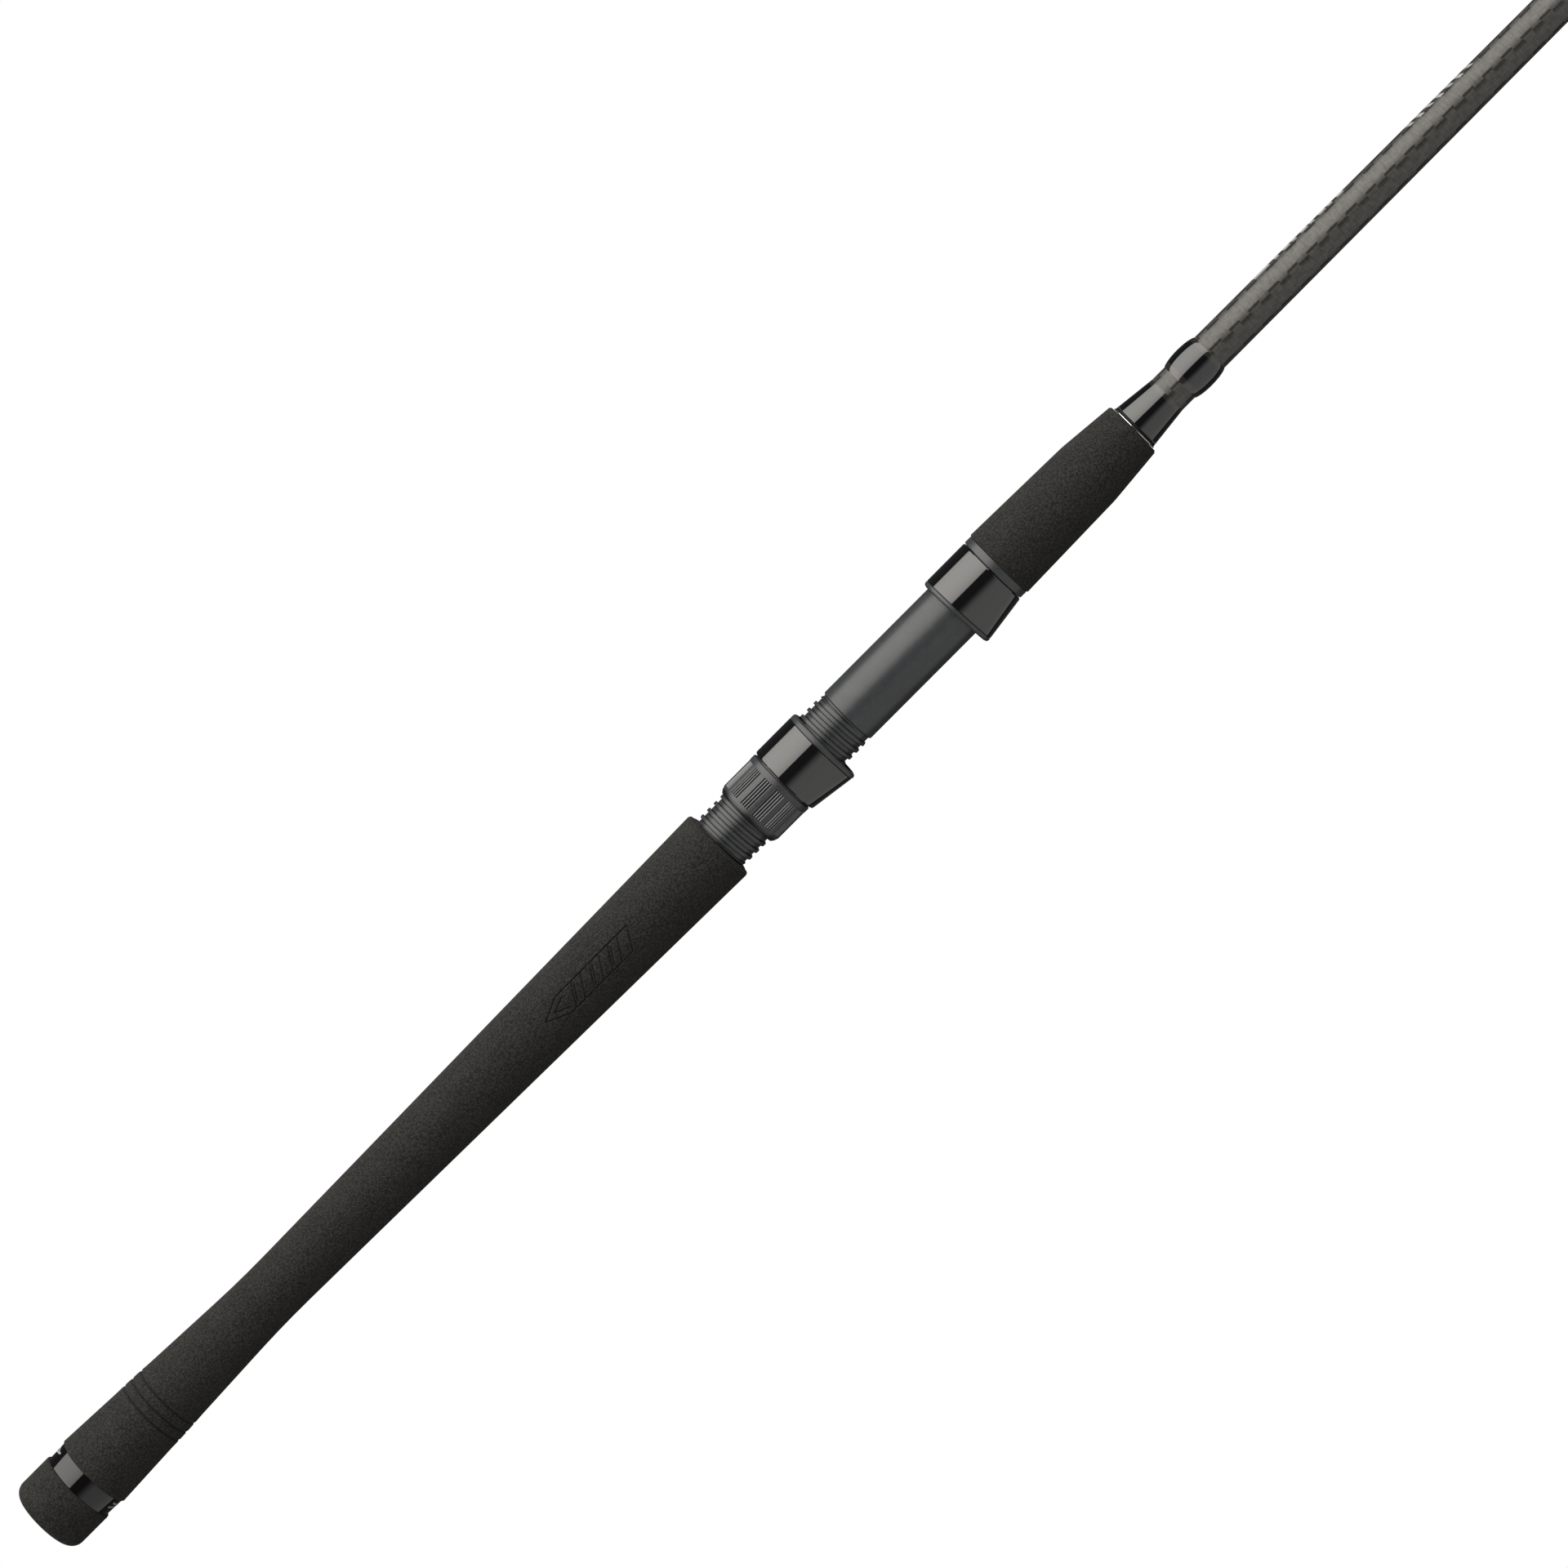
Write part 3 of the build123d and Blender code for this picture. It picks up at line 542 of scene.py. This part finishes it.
def lathe(name, rows, turns, body, material):
    """A closed skin through rows of (x, radius) about the rod's axis, the last joined to the first.
    x and radius are numbers, or one value for each angle; angles run from +Z towards -Y."""
    count = len(turns)
    verts = np.empty((len(rows) * count, 3))
    for i, (x, radius) in enumerate(rows):
        verts[i * count:(i + 1) * count, 0] = x
        verts[i * count:(i + 1) * count, 1] = -radius * np.sin(turns)
        verts[i * count:(i + 1) * count, 2] = radius * np.cos(turns)
    faces = []
    for i in range(len(rows)):
        here, there = i * count, (i + 1) % len(rows) * count
        for k in range(count):
            on = (k + 1) % count
            faces.append((here + k, here + on, there + on, there + k))
    piece = mesh_piece(name, verts, faces, body, material)
    close_poles(piece)
    piece.data.set_sharp_from_angle(angle=SHARP_EDGE)
    return piece


def stand_in(piece, node):
    """The piece stands for a CAD node."""
    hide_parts(node)
    return piece


def body_of(node):
    return frame["nodes"][node]["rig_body"]


def sleeve(node, material, outside, name, turns=None, relief=None):
    """A turned sleeve in place of a CAD node: the given outside, and the node's own bore.
    relief(x, turns) moves the outside of each row in or out."""
    turns = even_turns() if turns is None else turns
    rows = [(x, r + (relief(x, turns) if relief else 0.0)) for x, r in outside]
    start, end = cad_bore(node)
    rows += [end, start]
    return stand_in(lathe(name, rows, turns, body_of(node), material), node)


def rounded_ends(points, radius):
    """An outside line with a round of that radius where each end turns down to the bore."""
    (x0, r0), (x1, r1) = points[0], points[-1]
    first = corner((x0 + radius, r0 - radius), radius, 180, 90, 6)
    last = corner((x1 - radius, r1 - radius), radius, 90, 0, 6)
    middle = [p for p in points[1:-1] if x0 + radius < p[0] < x1 - radius]
    return first + middle + last


# ---------------------------------------------------------------- foam butt cap and grips

CAP_CORNER = 4.5 * MM
FOAM_EDGE = 0.5 * MM
GROOVE_DEPTH = 0.42 * MM
GROOVE_WIDTH = 0.42 * MM
GROOVE_SPAN = 1.2 * MM  # how far on each side a groove's own rows reach
GROOVE_ROOM = 3 * MM  # the fine rows go on this far past the outer grooves
GROOVE_ROWS = 9  # rows in each step of the grip's line
BEAD_CROWN = 0.12 * MM
BEAD_REACH = 6 * MM
GRIP_STEP = 2 * MM
WIDEST_BORE = 10.5 * MM  # a grip's outside is wider than this all along, and its bore is narrower


def butt_cap():
    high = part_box("butt_cap")[1]
    radius = high.z
    blank_start = ends_of("butt_blank")[0]
    bore = cad_profile("butt_blank")[0][1]
    rows = [(0.0, 0.0), (0.0, 0.4 * radius)]
    rows += corner((CAP_CORNER, radius - CAP_CORNER), CAP_CORNER, 180, 90, 14)
    rows += corner((high.x - FOAM_EDGE, radius - FOAM_EDGE), FOAM_EDGE, 90, 0, 5)
    rows += [(high.x, bore), (blank_start, bore), (blank_start, 0.0)]
    piece = lathe("butt_cap_foam", rows, even_turns(), "handle", foam)
    stand_in(piece, "butt_cap")


def grip_line(node):
    """The outside of a grip from its CAD node, without the grooves' own rows."""
    line = []
    for x, r in cad_profile(node):
        if r > WIDEST_BORE and all(abs(x - groove) > GROOVE_SPAN for groove in GRIP_GROOVES):
            line.append((x, r))
    return follow(line, GRIP_STEP)


# A debossed mark with no meaning: an arrow-ended frame filled with slanted bars. Points are
# (mm along the rod from the mark's middle, mm towards +Y).
MARK_MIDDLE = Vector((266.5 * MM, -1.1 * MM))
MARK_LINES = [
    ((-13.0, 3.9), (21.5, 3.9)),
    ((-13.0, -3.9), (16.5, -3.9)),
    ((-13.0, 3.9), (-21.5, 0.0)),
    ((-21.5, 0.0), (-13.0, -3.9)),
    ((-11.5, 2.3), (-17.0, 0.0)),
    ((-17.0, 0.0), (-11.5, -2.3)),
    ((21.5, 3.9), (16.5, -3.9)),
]
MARK_LINES += [((-10.5 + 4.4 * k, -3.9), (-5.5 + 4.4 * k, 3.9)) for k in range(6)]
MARK_LINES += [((-8.6 + 8.8 * k, -2.6), (-5.3 + 8.8 * k, 2.6)) for k in range(3)]
MARK_DEPTH = 0.6 * MM
MARK_WIDTH = 0.36  # half of a line's width, in mm
MARK_HALF = 25 * MM  # the fine rows reach this far from the mark's middle
MARK_ROWS = 10  # rows in each step of the grip's line
MARK_SIDE = 30  # degrees on each side of +Z that have fine segments
FINE_SEGMENT = 0.8  # degrees
PLAIN_SEGMENT = 2.5


def mark_relief(x, turns, radius):
    """How far the debossed mark presses the foam in at a station, for each angle."""
    along = (x - MARK_MIDDLE.x) / MM
    across = (-radius * np.sin(turns) - MARK_MIDDLE.y) / MM
    near = np.full(len(turns), np.inf)
    for (x0, y0), (x1, y1) in MARK_LINES:
        dx, dy = x1 - x0, y1 - y0
        share = np.clip(((along - x0) * dx + (across - y0) * dy) / (dx * dx + dy * dy), 0, 1)
        near = np.minimum(near, np.hypot(along - x0 - share * dx, across - y0 - share * dy))
    depth = np.clip(1 - near / MARK_WIDTH, 0, 1)
    return np.where(np.cos(turns) > 0, -MARK_DEPTH * depth * depth * (3 - 2 * depth), 0.0)


def groove_relief(x):
    """The three turned grooves, with a slight crown on the beads between them."""
    cut = sum(-GROOVE_DEPTH * math.exp(-(((x - groove) / GROOVE_WIDTH) ** 2)) for groove in GRIP_GROOVES)
    return cut + BEAD_CROWN * math.exp(-(((x - GRIP_GROOVES[1]) / BEAD_REACH) ** 4))


def rear_grip():
    coarse = grip_line("rear_grip")
    line = []
    for (x0, r0), (x1, r1) in zip(coarse, coarse[1:]):
        in_mark = abs(x0 - MARK_MIDDLE.x) < MARK_HALF
        in_grooves = GRIP_GROOVES[0] - GROOVE_ROOM < x0 < GRIP_GROOVES[-1] + GROOVE_ROOM
        count = GROOVE_ROWS if in_grooves else MARK_ROWS if in_mark else 1
        line += [(x0 + (x1 - x0) * i / count, r0 + (r1 - r0) * i / count) for i in range(count)]
    line.append(coarse[-1])
    fine_turns = np.arange(-MARK_SIDE, MARK_SIDE, FINE_SEGMENT)
    other_turns = np.arange(MARK_SIDE, 360 - MARK_SIDE, PLAIN_SEGMENT)
    turns = np.radians(np.concatenate((fine_turns, other_turns)))
    outside = rounded_ends(line, FOAM_EDGE)

    def relief(x, turns):
        radius = np.interp(x, [p[0] for p in line], [p[1] for p in line])
        if abs(x - MARK_MIDDLE.x) < MARK_HALF:
            return mark_relief(x, turns, radius)
        return groove_relief(x)

    piece = sleeve("rear_grip", foam, outside, "rear_grip_foam", turns, relief)


def foregrip():
    outside = rounded_ends(grip_line("foregrip"), FOAM_EDGE)
    sleeve("foregrip", foam, outside, "foregrip_foam")


# ---------------------------------------------------------------- reel seat

THREAD_ROOT = THREAD_FLOOR * MM
THREAD_CREST = 11.12 * MM
THREAD_PITCH = 3.2 * MM
# One side of a ridge: (mm from its middle, share of its height), with a fine groove at its foot.
RIDGE_SIDE = ((1.0, 0.0), (0.9, -0.14), (0.76, -0.14), (0.64, 0.84), (0.54, 1.0), (0.2, 1.03))
THREAD_RIDGE = [(-x, h) for x, h in RIDGE_SIDE] + [(x, h) for x, h in reversed(RIDGE_SIDE)]
THREAD_RUN_OUT = 2.5 * MM
BARREL_RADIUS = 11.0 * MM
BARREL_START = 390.1 * MM
SPIGOT_RADIUS = 10.0 * MM
TURN_STEPS = 96
SEAT_SHARP = math.radians(38)
COLLAR_EDGE = 0.35 * MM


def thread_phase():
    """Where the thread's crest crosses +Z, as a station within one pitch, from the CAD barrel."""
    co = np.array([v.co for v in frame["nodes"]["seat_barrel"].data.vertices], float)
    crest = co[(np.hypot(co[:, 1], co[:, 2]) > THREAD_CREST - 0.02 * MM)]
    turn = np.arctan2(-crest[:, 1], crest[:, 2]) / math.tau
    share = math.tau * (crest[:, 0] / THREAD_PITCH - turn)
    return math.atan2(np.sin(share).mean(), np.cos(share).mean()) / math.tau * THREAD_PITCH


def thread_rows(low, high, turns):
    """The thread's skin from station low to high, as (stations, radii) of rows that follow its helix."""
    phase = thread_phase()
    first_turn = math.floor((low - phase) / THREAD_PITCH) - 1
    last_turn = math.ceil((high - phase) / THREAD_PITCH) + 1
    rows = []
    for turn in range(first_turn, last_turn):
        for offset, height in THREAD_RIDGE:
            along = phase + (turn + turns) * THREAD_PITCH + offset * MM
            fade_in = np.clip((along - low) / THREAD_RUN_OUT, 0, 1)
            fade_out = np.clip((high - along) / THREAD_RUN_OUT, 0, 1)
            radius = THREAD_ROOT + height * (THREAD_CREST - THREAD_ROOT) * np.sqrt(fade_in * fade_out)
            rows.append((np.clip(along, low, high), radius))
    return rows


def seat_barrel():
    x0, x1 = ends_of("seat_barrel")
    grip_end = ends_of("rear_grip")[1]
    collar_end = ends_of("foregrip")[0]
    co = np.array([v.co for v in frame["nodes"]["seat_barrel"].data.vertices], float)
    on_thread = co[np.hypot(co[:, 1], co[:, 2]) > THREAD_ROOT + 0.1 * MM]
    thread_end = on_thread[on_thread[:, 0] < BARREL_START - 0.5 * MM][:, 0].max()
    turns = np.arange(TURN_STEPS + 1) / TURN_STEPS
    inner = [(x0, THREAD_ROOT), (grip_end, THREAD_ROOT)]
    start, end = cad_bore("seat_barrel")
    rest = [
        (thread_end, THREAD_ROOT),
        (BARREL_START - 0.6 * MM, THREAD_ROOT),
        (BARREL_START - 0.15 * MM, BARREL_RADIUS - 0.12 * MM),
        (BARREL_START + 0.1 * MM, BARREL_RADIUS),
        (collar_end, BARREL_RADIUS),
        (collar_end, SPIGOT_RADIUS),
        (x1, SPIGOT_RADIUS),
        end,
        start,
        inner[0],
    ]
    verts, faces = [], []
    for rows in (thread_rows(grip_end, thread_end, turns), inner, rest):
        base = len(verts)
        for x, r in rows:
            along = np.broadcast_to(x, turns.shape)
            verts += list(zip(along, -r * np.sin(math.tau * turns), r * np.cos(math.tau * turns)))
        for i in range(len(rows) - 1):
            for k in range(TURN_STEPS):
                a = base + i * len(turns) + k
                b = a + len(turns)
                faces.append((a, a + 1, b + 1, b))
    piece = mesh_piece("seat_barrel_skin", verts, faces, "handle", seat_graphite)
    close_poles(piece)
    piece.data.set_sharp_from_angle(angle=SEAT_SHARP)
    stand_in(piece, "seat_barrel")


def seat_collar():
    x0, x1 = ends_of("seat_collar")
    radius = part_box("seat_collar")[1].z
    outside = rounded_ends([(x0, radius), (x1, radius)], COLLAR_EDGE)
    sleeve("seat_collar", graphite, outside, "seat_collar_ring")


# ---------------------------------------------------------------- trim, windings and blanks

RING_EDGE = 0.22 * MM


def butt_ring():
    line = cad_profile("butt_ring")
    outside = rounded_ends([line[0], line[-1]], RING_EDGE)
    sleeve("butt_ring", ring_gloss, outside, "butt_ring_gloss")


# (mm along the check ring, mm from the axis): a rounded lip, then a plain sleeve.
CHECK_LIP = ((0.0, 9.0), (0.06, 9.2), (0.2, 9.3), (0.36, 9.3), (0.46, 9.2))
CHECK_SLEEVE = ((0.5, 9.0), (1.2, 8.92), (1.56, 8.86))


def check_ring():
    outside = [(check_start + along * MM, radius * MM) for along, radius in CHECK_LIP + CHECK_SLEEVE]
    sleeve("check_ring", check_lip, outside, "check_ring_lipped")


def taper_wrap():
    line = cad_profile("taper_wrap")
    (x0, r0), (x1, r1), (x2, r2) = line[0], line[-2], line[-1]
    outside = [(x0, r0)] + follow([(x0 + 0.01 * MM, r0), (x1, r1)], 1.5 * MM)
    for share in np.linspace(0.2, 0.94, 5):
        outside.append((x1 + (x2 - x1) * share, r1 + (r2 - r1) * (1 - (1 - share) ** 2)))
    outside.append((x2, r2 - 0.06 * MM))
    sleeve("taper_wrap", taper_epoxy, outside, "taper_wrap_epoxy")


WRAP_END = 2.0 * MM
WRAP_FOOT = 0.05 * MM
CROWN_AT = 0.49  # the trim winding's widest place, as a share of its length
CROWN_POWER = 2.1  # higher is flatter on top
RISE_POWER = 0.72  # lower is steeper at the ends


def trim_wrap():
    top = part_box("trim_wrap")[1].z
    (_, start), (_, end) = cad_bore("trim_wrap")
    outside = []
    for share in np.linspace(0, 1, 33):
        side = (share - CROWN_AT) / (CROWN_AT if share < CROWN_AT else 1 - CROWN_AT)
        rise = (1 - abs(side) ** CROWN_POWER) ** RISE_POWER
        foot = start + (end - start) * share + WRAP_FOOT
        outside.append((trim_start + (trim_end - trim_start) * share, foot + rise * (top - foot)))
    sleeve("trim_wrap", trim_epoxy, outside, "trim_wrap_epoxy")


def blank(node):
    line = cad_profile(node)
    outside = follow([line[0], line[-1]], 60 * MM)
    sleeve(node, carbon, outside, f"{node}_woven")


def wound(node):
    """A thread wrap, whose epoxy thins out towards both ends."""
    line = cad_profile(node)
    (x0, bore0), (x1, bore1) = cad_bore(node)
    foot0, foot1 = bore0 + WRAP_FOOT, bore1 + WRAP_FOOT
    first, last = [], []
    for share in np.linspace(0, 1, 7):
        rise = math.sqrt(1 - (1 - share) ** 2)
        first.append((x0 + share * WRAP_END, foot0 + (line[0][1] - foot0) * rise))
        last.append((x1 - share * WRAP_END, foot1 + (line[-1][1] - foot1) * rise))
    sleeve(node, guide_epoxy, first + last[::-1], f"{node}_epoxy")


# Generic bars that stand for the print: (first x, last x, slant, first angle, last angle), with
# lengths in mm, angles in degrees from +Z towards -Y, and slant the shift from first to last.
RULE = [(590, 597, 0.8, -84, -66)]
RULE += [(599.4 + 4.2 * k, 601.4 + 4.2 * k + k % 2, 0.8, -84, -66) for k in range(8)]
ARROWS = [(661 + 4.6 * k, 663 + 4.6 * k, 2.4, -86, -60 + 4 * (k % 2)) for k in range(7)]
RING_BARS = [
    (20.2, 20.9, 1.4, -88, -62),
    (22.6, 23.3, -1.4, -88, -66),
    (20.2, 20.9, 1.8, 62, 104),
    (22.4, 23.1, -1.4, 64, 104),
]
PRINT_LIFT = 0.03 * MM
PRINT_SINK = 0.05 * MM
PRINT_STEPS = 8


def printed(name, node, marks):
    """Slanted silver bars printed on a turned node."""
    line = cad_profile(node)
    (start, first_radius), (end, last_radius) = line[0], line[-1]
    verts, faces = [], []
    for x0, x1, slant, first, last in marks:
        base = len(verts)
        for lift in (-PRINT_SINK, PRINT_LIFT):
            for i in range(PRINT_STEPS + 1):
                share = i / PRINT_STEPS
                turn = math.radians(first + (last - first) * share)
                for x in (x0 + slant * share, x1 + slant * share):
                    radius = np.interp(x * MM, (start, end), (first_radius, last_radius)) + lift
                    verts.append((x * MM, -radius * math.sin(turn), radius * math.cos(turn)))
        layer = 2 * (PRINT_STEPS + 1)
        for i in range(PRINT_STEPS):
            a = base + 2 * i
            b = a + layer
            faces += [(a, a + 1, a + 3, a + 2), (b, b + 2, b + 3, b + 1)]
            faces += [(a, a + 2, b + 2, b), (a + 1, b + 1, b + 3, a + 3)]
        for a in (base, base + 2 * PRINT_STEPS):
            faces.append((a, a + layer, a + layer + 1, a + 1))
    piece = mesh_piece(name, verts, faces, body_of(node), silver, smooth=False)
    close_poles(piece)


def dress(material, *nodes):
    """Gives CAD nodes a material."""
    for node in nodes:
        for held in frame["nodes"][node].material_slots:
            held.material = material


def named(*ends):
    """The CAD nodes whose names end so."""
    return [node for node in frame["nodes"] if node.endswith(ends)]


butt_cap()
rear_grip()
foregrip()
seat_barrel()
seat_collar()
butt_ring()
check_ring()
taper_wrap()
trim_wrap()
blank("butt_blank")
blank("tip_blank")
printed("blank_rule", "butt_blank", RULE)
printed("blank_arrows", "butt_blank", ARROWS)
printed("ring_bars", "butt_ring", RING_BARS)
dress(gloss, "movable_hood_cover", "fixed_hood_cover")
dress(graphite, "movable_hood_insert", "fixed_hood_insert")
dress(nut_graphite, "lock_nut")
dress(bushing, *named("_1", "_2", "_3"))
for node in named("wrap_front", "wrap_rear", "ferrule_wrap", "tip_wrap"):
    wound(node)
dress(dark_metal, *named("_frame"))
dress(ceramic, *[node for node in named("_ring") if node.startswith(("guide", "tip"))])

# ---------------------------------------------------------------- camera, light and floor

CAMERA_HEIGHT = 2.34  # metres
CAMERA_STATION = 0.5266
LOOK_AT = Vector((0.3583, -0.00116, 0))
CAMERA_LENS = 159.15  # mm
ROD_ANGLE = math.radians(45.07)  # the rod's slope across the picture
SOFTBOX_LENGTH = 5.6  # metres
SOFTBOX_DISTANCE = 1.0
DIM_SURROUND = 0.06  # strength of the white around the rod, as the rod sees it
FLOOR_REACH = 12.0


def camera():
    made = bpy.data.objects.new("camera", bpy.data.cameras.new("camera"))
    bpy.context.scene.collection.objects.link(made)
    place = Vector((CAMERA_STATION, LOOK_AT.y, CAMERA_HEIGHT))
    back = (place - LOOK_AT).normalized()
    across = Vector((0, 1, 0))
    along = across.cross(back)
    right = math.cos(ROD_ANGLE) * along - math.sin(ROD_ANGLE) * across
    up = math.sin(ROD_ANGLE) * along + math.cos(ROD_ANGLE) * across
    turn = Matrix((right, up, back)).transposed().to_4x4()
    made.matrix_world = Matrix.Translation(place) @ turn
    made.data.lens = CAMERA_LENS
    made.data.sensor_width = 36
    made.data.clip_end = 50
    bpy.context.scene.camera = made


def softbox(name, low_degrees, high_degrees, side, radiance, colour, edge, fade):
    """A long light beside the rod, seen from it between two angles from +Z, on the side given by +1
    or -1. Its edges have a share of its middle's strength, and it fades in over a share of its width."""
    middle = math.radians((low_degrees + high_degrees) / 2)
    half = math.radians((high_degrees - low_degrees) / 2)
    light = bpy.data.lights.new(name, "AREA")
    light.shape = "RECTANGLE"
    light.size = SOFTBOX_LENGTH
    light.size_y = 2 * SOFTBOX_DISTANCE * math.tan(half)
    light.energy = radiance * math.pi * light.size * light.size_y
    light.color = colour
    light.use_nodes = True
    tree = light.node_tree
    parametric = tree.nodes.new("ShaderNodeNewGeometry").outputs["Parametric"]
    across = add(tree, "ShaderNodeSeparateXYZ", Vector=parametric).outputs[1]
    if side < 0:
        across = calc(tree, "SUBTRACT", 1.0, across)
    hump = times(tree, across, calc(tree, "SUBTRACT", 1.0, across))
    strength = plus(tree, edge, times(tree, hump, 4 * (1 - edge)))
    if fade:
        soft = calc(tree, "POWER", ramp(tree, across, 0.0, 1.0, 0.0, fade), 1.5)
        strength = times(tree, strength, soft)
    plug(tree, tree.nodes["Emission"].inputs["Strength"], strength)
    made = bpy.data.objects.new(name, light)
    bpy.context.scene.collection.objects.link(made)
    toward = Vector((0, side * math.sin(middle), math.cos(middle)))
    along = Vector((1, 0, 0))
    turn = Matrix((along, toward.cross(along), toward)).transposed().to_4x4()
    centre = (cad_box[0].x + cad_box[1].x) / 2
    made.matrix_world = Matrix.Translation(Vector((centre, 0, 0)) + toward * SOFTBOX_DISTANCE) @ turn
    made.visible_camera = False


def world():
    """White behind the rod, and nearly black in its reflections and for its light."""
    made = bpy.data.worlds.new("world")
    bpy.context.scene.world = made
    made.use_nodes = True
    tree = made.node_tree
    seen = add(tree, "ShaderNodeLightPath").outputs["Is Camera Ray"]
    shade = tree.nodes["Background"]
    plug(tree, shade.inputs["Color"], (1, 1, 1, 1))
    plug(tree, shade.inputs["Strength"], ramp(tree, seen, DIM_SURROUND, 1.0, 0.0, 1.0))


def floor():
    """A plain white floor that the rod lies on."""
    mesh = bpy.data.meshes.new("floor")
    signs = ((-1, -1), (1, -1), (1, 1), (-1, 1))
    corners = [(a * FLOOR_REACH, b * FLOOR_REACH, cad_box[0].z) for a, b in signs]
    mesh.from_pydata(corners, [], [(0, 1, 2, 3)])
    made = bpy.data.objects.new("floor", mesh)
    bpy.context.scene.collection.objects.link(made)
    material = bpy.data.materials.new("floor_white")
    material.use_nodes = True
    tree = material.node_tree
    tree.nodes.remove(tree.nodes["Principled BSDF"])
    glow = add(tree, "ShaderNodeEmission", Color=(1, 1, 1, 1), Strength=1.0)
    plug(tree, tree.nodes["Material Output"].inputs["Surface"], glow.outputs[0])
    mesh.materials.append(material)
    made.visible_diffuse = False
    made.visible_glossy = False
    made.visible_shadow = False


camera()
softbox(
    "bright_softbox", low_degrees=15, high_degrees=101, side=1, radiance=3.78,
    colour=(1.0, 0.975, 0.93), edge=0.66, fade=0.0,
)
softbox(
    "dim_softbox", low_degrees=7, high_degrees=109, side=-1, radiance=0.72,
    colour=(1.0, 0.985, 0.96), edge=1.0, fade=0.36,
)
world()
floor()
bpy.context.scene.view_settings.view_transform = "Standard"
